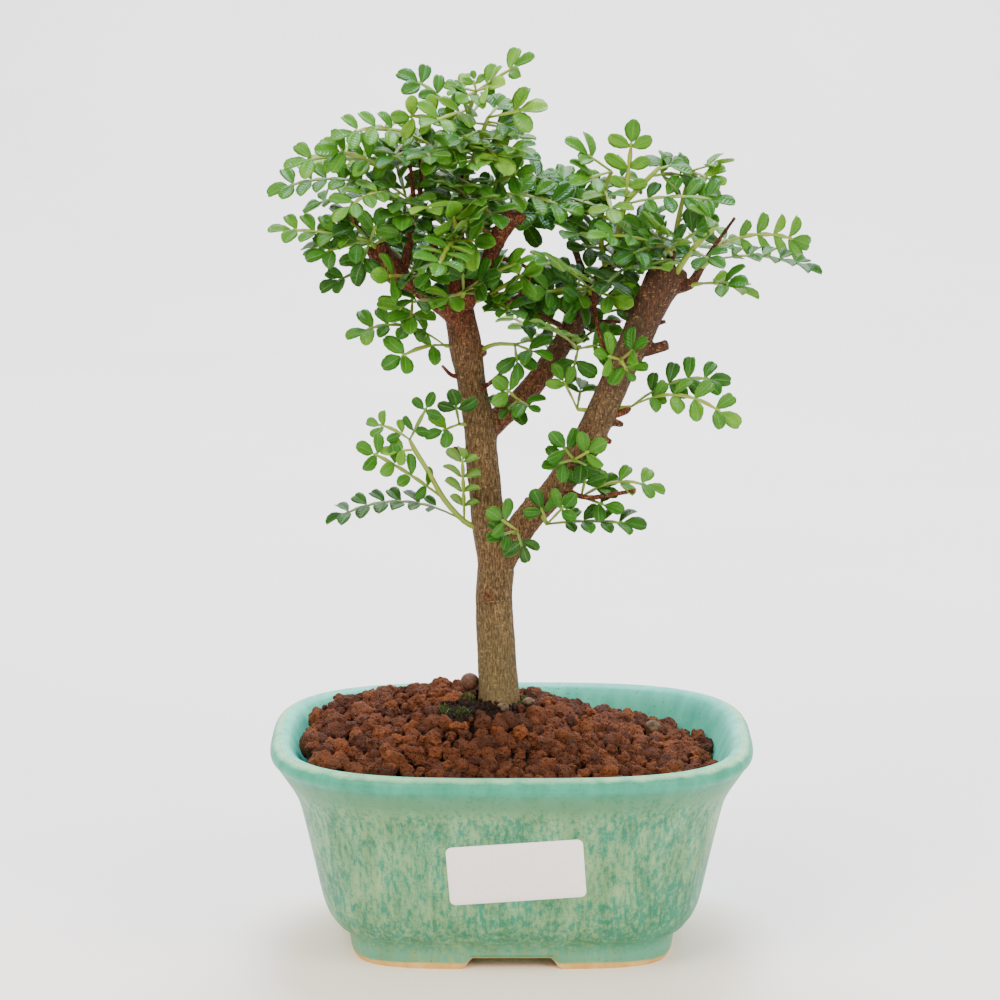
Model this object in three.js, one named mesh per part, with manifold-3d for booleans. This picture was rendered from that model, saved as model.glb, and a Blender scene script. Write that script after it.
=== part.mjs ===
// A Chinese pepper bonsai in a glazed pot
// Millimetres, +Z up, the front towards -Y. The parts are built round the pot's centre, and the whole
// group is moved at the end, so that the middle of its bounding box stands on the origin.

import * as THREE from 'three';
import { mergeVertices } from 'three/addons/utils/BufferGeometryUtils.js';
import Module from 'manifold-3d';

const wasm = await Module();
wasm.setup();

// Driving dimensions
const POT_HEIGHT = 58;
const POT_HALF_LENGTH = 64.3;
const POT_NARROWER = 14.5;
const FLOOR_TOP = 9;
const FOOT_CUT_HEIGHT = 3.1;
const FOOT_CUT_FRONT = 23;
const FOOT_CUT_SIDE = 18;
const DRAIN_HOLE = 14;
const DRAIN_OFFSET = 22;
const CLEARANCE = 0.3;
const SCREEN_SIZE = 22;
const SCREEN_THICKNESS = 1;
const SCREEN_HOLE = 4.6;
const SCREEN_PITCH = 6.4;
const GRANULE_RINGS = 9;
const GRANULE_RELIEF = 3;
const LABEL_LENGTH = 35.6;
const LABEL_HEIGHT = 16.9;
const LABEL_CORNER = 1.6;
const LABEL_THICKNESS = 0.4;
const LABEL_CENTRE = { x: 1.1, z: 30.5 };
const LABEL_TILT = 4.2;
const BLADE = 0.6;
const LEAFLET = 6.6;
const LEAFLET_PITCH = 8.4;
const LEAFLET_ANGLE = 60;
const RIB_HALF_WIDTH = 0.55;
const ROOT_HALF_WIDTH = 0.3;
const STEM_OVERRUN = 0.5;
const FOLD = 0.18;
const LEAF_GAP = 0.95;
const BRANCH_GAP = 1;

// The eye. Points on the tree are listed as they look from here on the upright plane through the trunk,
// [across, up, depth], and slid along the line of sight to their depth.
const EYE = new THREE.Vector3(-3.1, -900, 315);
const EYE_TILT = 12;

function seen([across, up, depth]) {
  const stretch = 1 + depth / -EYE.y;
  const x = EYE.x + (across - EYE.x) * stretch;
  const z = EYE.z + (up - EYE.z) * stretch;
  return new THREE.Vector3(x, depth, z);
}

// Solids and meshes

function solid(geometry) {
  const bare = geometry.clone();
  bare.deleteAttribute('normal');
  bare.deleteAttribute('uv');
  const merged = mergeVertices(bare, 1e-4);
  const index = merged.index.array;
  const triangles = [];
  for (let i = 0; i < index.length; i += 3) {
    const [a, b, c] = [index[i], index[i + 1], index[i + 2]];
    if (a !== b && b !== c && c !== a) triangles.push(a, b, c);
  }
  return new wasm.Manifold(new wasm.Mesh({
    numProp: 3,
    vertProperties: Float32Array.from(merged.attributes.position.array),
    triVerts: Uint32Array.from(triangles),
  }));
}

function largestPiece(body) {
  const pieces = body.decompose();
  return pieces.reduce((best, piece) => (piece.volume() > best.volume() ? piece : best));
}

function mesh(name, body, color, roughness) {
  const { vertProperties, triVerts } = body.getMesh();
  const geometry = new THREE.BufferGeometry();
  geometry.setAttribute('position', new THREE.BufferAttribute(vertProperties, 3));
  geometry.setIndex(new THREE.BufferAttribute(triVerts, 1));
  geometry.computeVertexNormals();
  const material = new THREE.MeshStandardMaterial({ color, roughness, metalness: 0 });
  const result = new THREE.Mesh(geometry, material);
  result.name = name;
  return result;
}

function moveVertices(geometry, place) {
  const position = geometry.attributes.position;
  const point = new THREE.Vector3();
  for (let i = 0; i < position.count; i += 1) {
    point.fromBufferAttribute(position, i);
    const moved = place(point);
    position.setXYZ(i, moved.x, moved.y, moved.z);
  }
  return geometry;
}

// The pot

// Half length at each height, from the middle of the underside round the lip to the middle of the floor
const POT_PROFILE = [
  [0, 3.8], [36, 3.8], [37, 0], [42.3, 0], [43.1, 1.2], [43.8, 5.6], [47.2, 9.3], [50.2, 15], [53, 27],
  [55.5, 38], [57.3, 44.2], [60.8, 49.8], [63.4, 53.8], [POT_HALF_LENGTH, 55.5], [63.4, 57.3],
  [61.6, POT_HEIGHT], [59, 57.3], [57.4, 54], [50.6, 36], [46, 18], [38, FLOOR_TOP], [0, FLOOR_TOP],
];
const POT_SIDES = 28;

function halfDepth(halfLength) {
  return halfLength - POT_NARROWER * Math.min(1, halfLength / 43);
}

function squareness(height) {
  return 4.5 - 1.3 * Math.min(1, height / 54);
}

// A point on the rounded rectangle of a given half length, at a given height
function rim(angle, halfLength, height) {
  const power = squareness(height);
  const c = Math.cos(angle);
  const s = Math.sin(angle);
  const reach = (Math.abs(c) ** power + Math.abs(s) ** power) ** (-1 / power);
  return new THREE.Vector3(halfLength * c * reach, halfDepth(halfLength) * s * reach, height);
}

function roundedLoft(profile) {
  const points = profile.map(([halfLength, height]) => new THREE.Vector2(halfLength, height));
  const geometry = new THREE.LatheGeometry(points, POT_SIDES);
  return moveVertices(geometry, (p) => {
    const side = Math.round((Math.atan2(p.x, p.z) / (2 * Math.PI)) * POT_SIDES);
    return rim((side / POT_SIDES) * 2 * Math.PI, Math.hypot(p.x, p.z), p.y);
  });
}

function box(width, depth, height, x, y, z) {
  return solid(new THREE.BoxGeometry(width, depth, height).translate(x, y, z));
}

function drainHole(x) {
  const hole = new THREE.CylinderGeometry(DRAIN_HOLE / 2, DRAIN_HOLE / 2, 20, 20);
  return solid(hole.rotateX(Math.PI / 2).translate(x, 0, FLOOR_TOP));
}

function potBody() {
  const across = 4 * POT_HALF_LENGTH;
  return solid(roundedLoft(POT_PROFILE))
    .subtract(box(FOOT_CUT_FRONT, across, 2 * FOOT_CUT_HEIGHT, 0, 0, 0))
    .subtract(box(across, FOOT_CUT_SIDE, 2 * FOOT_CUT_HEIGHT, 0, 0, 0))
    .subtract(drainHole(-DRAIN_OFFSET))
    .subtract(drainHole(DRAIN_OFFSET));
}

function screenBody(x) {
  const height = FLOOR_TOP + CLEARANCE + SCREEN_THICKNESS / 2;
  let sheet = box(SCREEN_SIZE, SCREEN_SIZE, SCREEN_THICKNESS, x, 0, height);
  for (const row of [-0.5, 0.5]) {
    for (const column of [-1, 0, 1]) {
      const eye = box(SCREEN_HOLE, SCREEN_HOLE, 3, x + column * SCREEN_PITCH, row * SCREEN_PITCH, height);
      sheet = sheet.subtract(eye);
    }
  }
  return sheet;
}

// The label lies flat on the front wall, at the wall's slope
function labelBody() {
  const x = LABEL_LENGTH / 2;
  const y = LABEL_HEIGHT / 2;
  const r = LABEL_CORNER;
  const sheet = new THREE.Shape();
  sheet.moveTo(-x + r, -y);
  sheet.lineTo(x - r, -y);
  sheet.absarc(x - r, -y + r, r, -Math.PI / 2, 0);
  sheet.absarc(x - r, y - r, r, 0, Math.PI / 2);
  sheet.absarc(-x + r, y - r, r, Math.PI / 2, Math.PI);
  sheet.absarc(-x + r, -y + r, r, Math.PI, 1.5 * Math.PI);
  const [below, above] = [[53, 27], [55.5, 38]];
  const share = (LABEL_CENTRE.z - below[1]) / (above[1] - below[1]);
  const wall = halfDepth(below[0] + (above[0] - below[0]) * share);
  const slope = Math.atan2(above[0] - below[0], above[1] - below[1]);
  const geometry = new THREE.ExtrudeGeometry(sheet, {
    depth: LABEL_THICKNESS, bevelEnabled: false, curveSegments: 2,
  });
  geometry.rotateZ(THREE.MathUtils.degToRad(LABEL_TILT));
  geometry.translate(0, 0, CLEARANCE);
  geometry.rotateX(Math.PI / 2 + slope);
  return solid(geometry.translate(LABEL_CENTRE.x, -wall, LABEL_CENTRE.z));
}

// The granules

function seededRandom(seed) {
  let state = seed;
  return () => {
    state = (Math.imul(state, 1664525) + 1013904223) >>> 0;
    return state / 4294967296;
  };
}

// The space inside the pot, a clearance away from its wall and floor, and open at the top
const SOIL_SPACE = [
  [0, FLOOR_TOP + CLEARANCE], [37.5, FLOOR_TOP + CLEARANCE],
  [45.6, 18], [50.2, 36], [57, 54], [57, 80], [0, 80],
];
const GRANULE_REACH = 60;
const MOUND = { edge: 52.3, slope: -0.05, rise: 14, spread: 24, x: -4, y: 0 };
const SHOULDER = { rise: 4, spread: 17, x: -32, y: 18 };

function hump({ rise, spread, x, y }, atX, atY) {
  return rise * Math.exp(-((atX - x) ** 2 + (atY - y) ** 2) / (2 * spread ** 2));
}

function moundHeight(x, y) {
  return MOUND.edge + MOUND.slope * x + hump(MOUND, x, y) + hump(SHOULDER, x, y);
}

// A closed block: its top is a honeycomb of points, where every third one is the peak of a granule
function soilBlock() {
  const random = seededRandom(11);
  const corner = [[1, 0], [0, 1], [-1, 1], [-1, 0], [0, -1], [1, -1], [1, 0]];
  const position = [];
  const index = [];
  const ringStart = (ring) => (ring === 0 ? 0 : 1 + 3 * ring * (ring - 1));
  const at = (ring, step) => ringStart(ring) + (ring === 0 ? 0 : step % (6 * ring));
  for (let ring = 0; ring <= GRANULE_RINGS; ring += 1) {
    for (let step = 0; step < Math.max(1, 6 * ring); step += 1) {
      const sector = ring === 0 ? 0 : Math.floor(step / ring);
      const along = ring === 0 ? 0 : step % ring;
      const q = (ring - along) * corner[sector][0] + along * corner[sector + 1][0];
      const r = (ring - along) * corner[sector][1] + along * corner[sector + 1][1];
      const peak = ((q - r) % 3 + 3) % 3 === 0;
      const angle = ring === 0 ? 0 : (step / (6 * ring)) * 2 * Math.PI;
      const reach = ring / GRANULE_RINGS;
      const edge = rim(angle, GRANULE_REACH, POT_HEIGHT);
      const x = edge.x * reach;
      const y = edge.y * reach;
      const bump = (peak ? 0.5 : -0.5) + 0.5 * (random() - 0.5);
      position.push(x, y, moundHeight(x, y) + bump * GRANULE_RELIEF);
    }
  }
  for (let ring = 1; ring <= GRANULE_RINGS; ring += 1) {
    for (let sector = 0; sector < 6; sector += 1) {
      for (let k = 0; k < ring; k += 1) {
        const outer = sector * ring + k;
        const inner = sector * (ring - 1) + k;
        index.push(at(ring, outer), at(ring, outer + 1), at(ring - 1, inner));
        if (k > 0) index.push(at(ring, outer), at(ring - 1, inner), at(ring - 1, inner - 1));
      }
    }
  }
  // the skirt and the underside
  const edgeCount = 6 * GRANULE_RINGS;
  const top = ringStart(GRANULE_RINGS);
  const bottom = position.length / 3;
  const middle = bottom + edgeCount;
  for (let step = 0; step < edgeCount; step += 1) {
    const p = rim((step / edgeCount) * 2 * Math.PI, GRANULE_REACH, POT_HEIGHT);
    position.push(p.x, p.y, 0);
  }
  position.push(0, 0, 0);
  for (let step = 0; step < edgeCount; step += 1) {
    const next = (step + 1) % edgeCount;
    index.push(top + step, bottom + step, bottom + next);
    index.push(top + step, bottom + next, top + next);
    index.push(middle, bottom + next, bottom + step);
  }
  const geometry = new THREE.BufferGeometry();
  geometry.setAttribute('position', new THREE.Float32BufferAttribute(position, 3));
  geometry.setIndex(index);
  return solid(geometry).intersect(solid(roundedLoft(SOIL_SPACE)));
}

function screenPocket(x) {
  const size = SCREEN_SIZE + 2 * CLEARANCE;
  const height = SCREEN_THICKNESS + 2 * CLEARANCE;
  return box(size, size, height * 2, x, 0, FLOOR_TOP + CLEARANCE);
}

// The wood
// Each limb: its sides, then its points as [across, up, depth, radius]

const LIMBS = {
  trunk: [8, [
    [-3.4, 38, 0, 5], [-3.4, 52, 0, 5.8], [-3.4, 63, 0, 6], [-3.6, 68, 0, 5.4], [-4.7, 82, 0, 5],
    [-4.7, 94, 0, 5], [-4.2, 104, 0, 4.9], [-5.8, 113, 0, 4.8], [-6.8, 121, 0, 4.4], [-7.9, 132, 0, 4.3],
    [-8.4, 140, 0, 4.3], [-9.9, 148, 0, 3.9], [-10.7, 153, 0, 3.9], [-12, 161, 0, 4.2],
    [-12.8, 166, 0.5, 4.2], [-13.8, 172, 1, 3.9], [-13.5, 180, 1.5, 2.6], [-13.5, 185, 2, 2.3],
    [-14, 190, 2, 1.9], [-14.3, 195, 2, 1.5], [-13, 201, 2, 1.1], [-12.6, 208, 2, 0.8],
  ]],
  rightBough: [8, [
    [-4.2, 101, 0, 3.6], [-0.8, 107.8, -1, 4], [4.9, 116.5, -3, 3.8], [11.5, 123.5, -5, 3.7],
    [18.1, 133, -6, 4], [23.3, 143.7, -6, 4], [28, 154.4, -6, 3.9], [32.4, 163.8, -6, 4.2],
    [36.2, 173, -6, 4.4], [39.4, 179, -6, 4.9], [41.2, 182.4, -6, 4.4],
  ]],
  middleBranch: [7, [
    [-9, 136, 1, 2.8], [-6.3, 139.7, 1, 3], [-3.1, 143, 2, 3.1], [2.2, 147.8, 3, 2.9],
    [8.7, 155.8, 4, 2.9], [13.9, 163.8, 5, 2.9], [17.8, 170.4, 6, 2.9], [21, 175.7, 7, 2.6],
    [24.3, 181.7, 8, 1.9], [27.7, 184.9, 9, 1.5],
  ]],
  leftBough: [7, [
    [-13.6, 168, 0, 3], [-15.6, 171.2, -1, 3.1], [-20.1, 174.4, -2, 2.8], [-24, 177, -3, 2.4],
    [-29.2, 180.2, -4, 2.6], [-33.1, 184.4, -4, 3.1], [-35.7, 188.1, -4, 2.5],
  ]],
  upperStub: [7, [
    [-12.5, 173, 0, 2.6], [-7, 182.3, -2, 2], [-3.9, 190.2, -3, 1.9], [0.8, 197.2, -4, 2.2],
  ]],
  leftUpright: [5, [
    [-28.6, 180, -4, 1.3], [-26.6, 190.2, -3, 1], [-26, 195, -3, 0.9], [-25.7, 202, -3, 0.7],
    [-26.5, 209.7, -3, 0.6], [-29, 213.6, -3, 0.5],
  ]],
  leftUprightFork: [4, [[-26, 196, -3, 0.6], [-23.8, 203, -1, 0.6], [-23.6, 211, 0, 0.5]]],
  leaderBudTwig: [5, [[-17.5, 176, 0, 1.4], [-20.8, 190.2, 2, 1.1], [-21.8, 196.4, 3, 0.9]]],
  darkTwig: [4, [[-16, 180, 3, 1.1], [-20, 182.6, 6, 0.9], [-25.3, 184.4, 8, 0.8]]],
  leftTipTwig: [4, [[-35.5, 187.5, -4, 0.7], [-37.6, 190.6, -5, 0.5], [-42.1, 196.2, -7, 0.45]]],
  upperTwig: [4, [[-4.2, 190, -3, 0.7], [-9.6, 194.8, -7, 0.6], [-12.7, 198, -9, 0.5]]],
  wireTwig: [4, [
    [-5.5, 186, -2, 0.6], [3.9, 182.8, -6, 0.5], [3.4, 177, -7, 0.45], [-1.8, 173, -8, 0.4],
  ]],
  crownTwig: [5, [[21, 175.7, 7, 1.1], [16.4, 187.5, 12, 0.9], [13.8, 197.5, 12, 0.7]]],
  middleTwigLow: [4, [[13.5, 166, 5, 0.7], [12, 168, 3, 0.6], [6.9, 170.5, 0, 0.5]]],
  middleTwigHigh: [4, [[17.5, 168.5, 6, 0.6], [12.5, 172.3, 3, 0.5]]],
  middleTwigRight: [4, [[19, 169.5, 6, 0.6], [22, 168.8, 4, 0.5], [28.5, 168.4, 2, 0.45]]],
  hangingTwig: [4, [[21, 177, 5, 0.6], [21.5, 176, 1, 0.6], [22, 169, -1, 0.55], [24.4, 160.6, -1, 0.5]]],
  sideBranch: [5, [
    [35.5, 168, -6, 1.6], [31.5, 171.2, -3, 1.3], [28.8, 172.8, -2, 1.2], [25.7, 176.4, -1, 1],
  ]],
  rightStub: [5, [[32, 160.5, -6, 1.6], [36.6, 161.1, -7, 1.5], [41, 162.4, -8, 1.4]]],
  topStub: [5, [[39.8, 180, -5, 1.6], [41, 184, -5, 1.3], [42, 187.5, -5, 1.1]]],
  rightTwig: [5, [
    [41.5, 177, -6, 1.6], [46.5, 178.3, -8, 1.3], [49.1, 182.3, -9, 1], [52.2, 187.5, -8, 0.7],
    [58.1, 196, -7, 0.5],
  ]],
  trunkTwigLeft: [4, [[-12, 154, 0, 0.8], [-15.6, 154.2, -2, 0.6], [-18.3, 156.8, -3, 0.4]]],
  trunkTwigRight: [4, [[-10.5, 149.5, -1, 0.8], [-6, 152, -4, 0.6], [-2.3, 155.3, -5, 0.5]]],
  trunkKnobLeft: [5, [[-9, 132.8, 0, 1.6], [-12.9, 133.4, 0, 1]]],
  trunkKnobRight: [5, [[-10, 160.5, 0, 1.8], [-6.9, 160.8, -1, 1.3]]],
  boughThornHigh: [4, [[36, 167.5, -6, 0.9], [40.3, 168.6, -6, 0.5]]],
  boughThornMiddle: [4, [[26, 142, -6, 1.2], [29.4, 141, -7, 0.7]]],
  boughThornLow: [4, [[23, 137.5, -6, 1.2], [26.4, 136.4, -7, 0.7]]],
  boughKnob: [5, [[4, 117, -3, 1.4], [4.4, 121.5, -3, 0.9]]],
};

// A tapered round limb along the curve through its points; its ends are flat
function limb(sides, points, extra = 0, overrun = extra) {
  const curve = new THREE.CatmullRomCurve3(points.map((p) => seen(p)));
  const steps = points.length - 1;
  const geometry = new THREE.CylinderGeometry(1, 1, 1, sides, steps);
  const frames = curve.computeFrenetFrames(steps);
  const centres = [];
  const radii = [];
  for (let i = 0; i <= steps; i += 1) {
    const share = curve.getUtoTmapping(i / steps) * (points.length - 1);
    const before = Math.min(points.length - 2, Math.floor(share));
    const radius = THREE.MathUtils.lerp(points[before][3], points[before + 1][3], share - before);
    centres.push(curve.getPointAt(i / steps));
    radii.push(radius + extra);
  }
  centres[0].addScaledVector(frames.tangents[0], -extra);
  centres[steps].addScaledVector(frames.tangents[steps], overrun);
  return solid(moveVertices(geometry, (p) => {
    const i = Math.round((p.y + 0.5) * steps);
    return centres[i].clone()
      .addScaledVector(frames.normals[i], p.x * radii[i])
      .addScaledVector(frames.binormals[i], -p.z * radii[i]);
  }));
}

function wood(extra) {
  const limbs = Object.values(LIMBS).map(([sides, points]) => limb(sides, points, extra));
  return wasm.Manifold.union(limbs);
}

// The leaves
// Each spray: its stem as [across, up, depth, radius], then its leaves as
// [stem point they grow from, across, up, depth of the tip, pairs of leaflets, facing, size, arch].
// A facing of 0 turns the leaf edge-on to the eye, upper side up, and 90 turns that side to the eye.

const SPRAYS = {
  crown_top: [
    [[-12.6, 206, 2, 0.7], [-11.9, 218.8, 2, 0.7], [-10.9, 224, 1, 0.65], [-9.3, 228.7, 0, 0.6]],
    [[3, 5.7, 238, -6, 2, 50, 1, 0], [3, -2.3, 231, -12, 1, 30, 1, 0],
     [3, -17.5, 230.5, 5, 2, 60, 0.8, 0], [3, -10.4, 234, 4, 1, 60, 0.6, 0],
     [1, -28.9, 232.3, 3, 3, 70, 0.95, 3], [1, -31.3, 221.4, -8, 3, 60, 0.9, 2],
     [2, -23.5, 220, -16, 2, 50, 1.1, 0]],
  ],
  crown_top_right: [
    [[-12.7, 204, 2, 0.7], [-8.3, 216.2, -3, 0.7], [-6.2, 221.9, -5, 0.6]],
    [[2, 9.3, 225, -9, 1, 65, 1.25, 0], [2, -1.3, 227.5, 3, 1, 70, 1.1, 0],
     [1, 6.5, 216.5, -4, 2, 20, 1, 0], [1, 5.5, 212.5, -16, 2, 45, 1, 0],
     [1, -0.5, 207.5, -20, 1, 45, 1.25, 0]],
  ],
  crown_left_high: [
    [[-23.6, 208, 0, 0.7], [-22.6, 212, -1, 0.6], [-21.3, 214.9, -3, 0.6]],
    [[2, -47.2, 215.2, -12, 4, 45, 1, 4], [2, -37.9, 219, 9, 2, 25, 1, 1],
     [1, -14.8, 209, -14, 1, 65, 1.2, 0]],
  ],
  crown_left_middle: [
    [[-27.6, 211, -3, 0.6], [-31, 211.5, -5, 0.55], [-33.9, 208.8, -6, 0.5]],
    [[2, -51.1, 212.3, -12, 2, 70, 1.1, 2], [2, -54.2, 209.4, 6, 3, 40, 1, 2],
     [2, -59.4, 208.4, -20, 3, 25, 1, 3]],
  ],
  crown_left_low: [
    [[-25.8, 201, -3, 0.7], [-27.6, 200.4, -5, 0.7]],
    [[1, -64.1, 201.4, -6, 6, 20, 1, 5], [1, -54.8, 197.5, 12, 4, 40, 1, 3],
     [1, -46.9, 193, -22, 4, 30, 1, 5], [1, -18.8, 197, -22, 1, 30, 1, 0],
     [1, -28.5, 193, -20, 1, 55, 1.2, 0]],
  ],
  left_bough_tip: [
    [[-35, 187.6, -5, 0.8], [-37, 189.6, -8, 0.7]],
    [[1, -63.5, 192.5, -10, 4, 60, 1, 1], [1, -54.8, 187.5, 6, 3, 50, 1, 1],
     [1, -54, 184.1, -20, 2, 70, 1, 1], [1, -41, 178.5, -15, 1, 80, 1, 0],
     [1, -33.6, 198.5, -17, 1, 75, 1, 0]],
  ],
  left_bough_under: [
    [[-32, 183, -5, 0.7], [-35.6, 181.6, -7, 0.6]],
    [[1, -50.7, 175.2, -8, 3, 45, 0.95, 2]],
  ],
  left_bough_front: [
    [[-28, 180.2, -5, 0.8], [-27, 180.6, -9, 0.7]],
    [[1, -36.5, 180.5, -17, 1, 50, 1.05, 0], [1, -16.5, 178, -17, 2, 55, 1, 1]],
  ],
  left_bough_hanging: [
    [[-25, 177.5, -3, 0.7], [-26, 174.5, -5, 0.6]],
    [[1, -33, 168.5, -8, 1, 70, 1.1, 0], [1, -26.5, 165.5, -11, 1, 80, 1, 0]],
  ],
  leader_front: [
    [[-14, 190, 1, 0.8], [-14.4, 190, -6, 0.8]],
    [[1, -25.3, 190.5, -18, 1, 60, 1.25, 0], [1, -20, 180.5, -34, 3, 50, 1.1, 2],
     [1, -4.8, 189.4, -16, 1, 55, 1.2, 0], [1, -15.6, 199.5, -14, 1, 70, 1.15, 0]],
  ],
  trunk_head_front: [
    [[-13, 175, 0, 0.8], [-12.6, 176.5, -7, 0.8]],
    [[1, -21.4, 172.5, -18, 1, 50, 1.1, 0], [1, -13.1, 186.4, -17, 1, 70, 1.1, 0],
     [1, -3.2, 180.5, -18, 1, 55, 1.1, 0]],
  ],
  trunk_head_right: [
    [[-11, 173.5, 0, 0.7], [-7, 174.5, -3, 0.6]],
    [[1, 2.6, 177.6, -14, 1, 30, 1, 0], [1, 3.2, 169.6, -16, 2, 45, 0.95, 0]],
  ],
  leader_right: [
    [[-13, 200.5, 2, 0.7], [-10.4, 201, 0, 0.7]],
    [[1, 19, 195.9, -5, 4, 65, 1.15, 3], [1, 12.5, 206.3, 12, 3, 25, 1, 2],
     [1, -2.2, 193.8, -18, 1, 60, 1.2, 0]],
  ],
  crown_centre: [
    [[13.9, 196, 12, 0.8], [13.3, 200.6, 11, 0.7]],
    [[1, 13.8, 210, 14, 1, 80, 1.2, 0], [1, 24, 204.2, 8, 1, 75, 1.2, 0],
     [1, 4.6, 205.5, 22, 1, 80, 1.2, 0], [1, 1.2, 192.3, 2, 2, 60, 1.1, 1]],
  ],
  crown_right_shoot: [
    [[24.6, 182, 8, 0.9], [23, 192, 5, 0.8], [24.1, 203.2, 3, 0.7], [25.9, 207.9, 2, 0.6]],
    [[3, 13.8, 216.2, -4, 1, 45, 1.25, 0], [3, 15.8, 205, -12, 1, 70, 1.2, 0],
     [2, 27, 195, -15, 1, 60, 1.1, 0], [1, 13.4, 191, -14, 1, 55, 1.25, 0]],
  ],
  crown_right_upright: [
    [[27.4, 184.6, 9, 0.9], [27.6, 191.5, 3, 0.8], [29.4, 199.3, -2, 0.8], [31.4, 202, -3, 0.8],
     [38.4, 209.2, -5, 0.7]],
    [[2, 31.5, 221.5, -7, 3, 80, 1, 0], [2, 57.9, 199.3, -10, 4, 55, 1, 2]],
  ],
  crown_right_fan: [
    [[41.8, 185.5, -4.6, 0.8], [43.4, 196, 2, 0.7], [46.2, 208, 4, 0.6]],
    [[2, 57.5, 211.3, 0, 1, 25, 1, 0], [2, 33.5, 211.8, 9, 2, 25, 1, 0],
     [2, 55.5, 204.6, -8, 1, 45, 1, 0], [2, 54.9, 200.6, 12, 1, 60, 0.95, 0]],
  ],
  right_bough_top: [
    [[41.6, 186, -5, 0.8], [40.4, 187.6, -9, 0.8]],
    [[1, 19.8, 190.2, -18, 4, 30, 1, 2], [1, 27, 183, -36, 3, 40, 1, 2],
     [1, 36, 196.4, -20, 1, 60, 1.1, 0]],
  ],
  middle_branch_tip: [
    [[26.6, 183.8, 8.4, 0.8], [31, 182.8, 3, 0.7]],
    [[1, 27, 175.6, -2, 1, 75, 1.15, 0], [1, 41, 182.6, -12, 1, 35, 1, 0]],
  ],
  middle_branch_top: [
    [[21, 175.7, 6, 0.8], [20, 177.4, 1, 0.8]],
    [[1, 2.1, 175.2, -8, 2, 60, 1.3, 0], [1, 7, 184, -28, 3, 50, 1, 2],
     [1, 14, 168.8, -9, 1, 80, 1.05, 0], [1, 31.5, 172.8, -8, 1, 60, 1.1, 0]],
  ],
  middle_branch_back: [
    [[14.2, 165, 5, 0.7], [13, 168, 11, 0.7]],
    [[1, 2.5, 172.3, 18, 1, 60, 1.1, 0], [1, 22, 177.5, 24, 1, 50, 1, 0]],
  ],
  trunk_middle_right: [
    [[-9, 160.5, 0, 0.7], [-4.5, 162.5, -4, 0.6], [0.8, 162.5, -7, 0.6]],
    [[2, 10.2, 158.6, -14, 1, 50, 1, 0], [2, 1.8, 152.8, -11, 1, 80, 1, 0], [2, 11, 165, 0, 1, 30, 1, 0]],
  ],
  middle_branch_right: [
    [[15.4, 163, 4, 0.7], [17.4, 161.4, 0, 0.7]],
    [[1, 28, 163.2, -1, 1, 60, 1.15, 0], [1, 15.4, 152.2, -5, 1, 80, 1, 0]],
  ],
  middle_branch_low: [
    [[2.1, 147.3, 2, 0.7], [1.6, 147.6, -3, 0.7]],
    [[1, -4.6, 153.8, -9, 1, 70, 1, 0], [1, -3.2, 143, -10, 1, 70, 1, 0],
     [1, 7.2, 144.4, -9, 1, 70, 0.9, 0]],
  ],
  right_bough_left: [
    [[23.6, 144.6, -6, 0.8], [17.2, 145.2, -6, 0.7]],
    [[1, 10.8, 156.3, -5, 2, 70, 0.85, 1], [1, 18.6, 153.6, 6, 1, 70, 0.9, 0]],
  ],
  right_bough_front: [
    [[29, 157, -7, 0.8], [28.6, 158.4, -13, 0.7]],
    [[1, 35.4, 163.6, -19, 1, 50, 1, 0], [1, 21.6, 160.2, -19, 1, 70, 1, 0],
     [1, 32, 152.5, -20, 1, 60, 1, 0]],
  ],
  right_bough_right: [
    [[25, 145.2, -6, 0.8], [31.4, 145.8, -6.5, 0.7]],
    [[1, 57.6, 151.8, -2, 4, 60, 0.95, 4], [1, 61.1, 139, -14, 4, 65, 1, 6]],
  ],
  right_twig_long: [
    [[49.3, 182.8, -9, 0.8], [51.4, 184.4, -11, 0.7]],
    [[1, 81.6, 180.7, -12, 5, 30, 1, 3]],
  ],
  right_twig_high: [
    [[52.2, 187.4, -8, 0.7], [54.6, 189, -6, 0.6]],
    [[1, 78.2, 188, 4, 4, 60, 1, 3]],
  ],
  right_bough_shoot: [
    [[42.4, 180.6, -8, 0.9], [46.9, 187.5, -13, 0.8], [53.7, 194.1, -14, 0.7]],
    [[2, 46.3, 198.7, -20, 1, 40, 1, 0], [1, 55, 183, -24, 1, 60, 1, 0]],
  ],
  right_twig_low: [
    [[46.3, 178.2, -8, 0.8], [49.6, 178.6, -11, 0.6]],
    [[1, 65, 173.4, -14, 2, 20, 1, 2], [1, 61.4, 178.8, -22, 1, 60, 1, 0]],
  ],
  low_right_tuft: [
    [[0.4, 111.5, -3, 0.8], [1.4, 112.5, -9, 0.7]],
    [[1, -6.6, 118, -15, 1, 75, 0.95, 0], [1, -6.6, 109.8, -17, 1, 60, 0.95, 0],
     [1, 4, 103.6, -14, 1, 80, 0.9, 0]],
  ],
  low_right_spray: [
    [[7, 118.6, -4, 0.8], [9.4, 114.2, -9, 0.7]],
    [[1, 36, 113.5, -15, 4, 65, 1, 1], [1, 16.8, 122, -18, 1, 70, 0.95, 0]],
  ],
  low_right_long: [
    [[13, 124.6, -6, 0.8], [18.4, 121.6, -8, 0.7]],
    [[1, 41.3, 121.6, -6, 3, 50, 0.9, 4]],
  ],
  right_bough_tuft: [
    [[17.2, 131.4, -8, 0.8], [16.4, 131.6, -12, 0.7]],
    [[1, 10.4, 139, -17, 1, 70, 0.95, 0], [1, 24.8, 136.4, -18, 1, 70, 1, 0],
     [1, 8, 129.6, -17, 1, 65, 0.9, 0]],
  ],
  low_left_shoot: [
    [[-8.5, 113, -1, 0.9], [-12.6, 115, -2, 0.8], [-17.8, 120.8, -4, 0.8], [-21.6, 127.6, -5, 0.7],
     [-25.6, 134.3, -5, 0.7], [-26.9, 137, -5, 0.6]],
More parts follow.
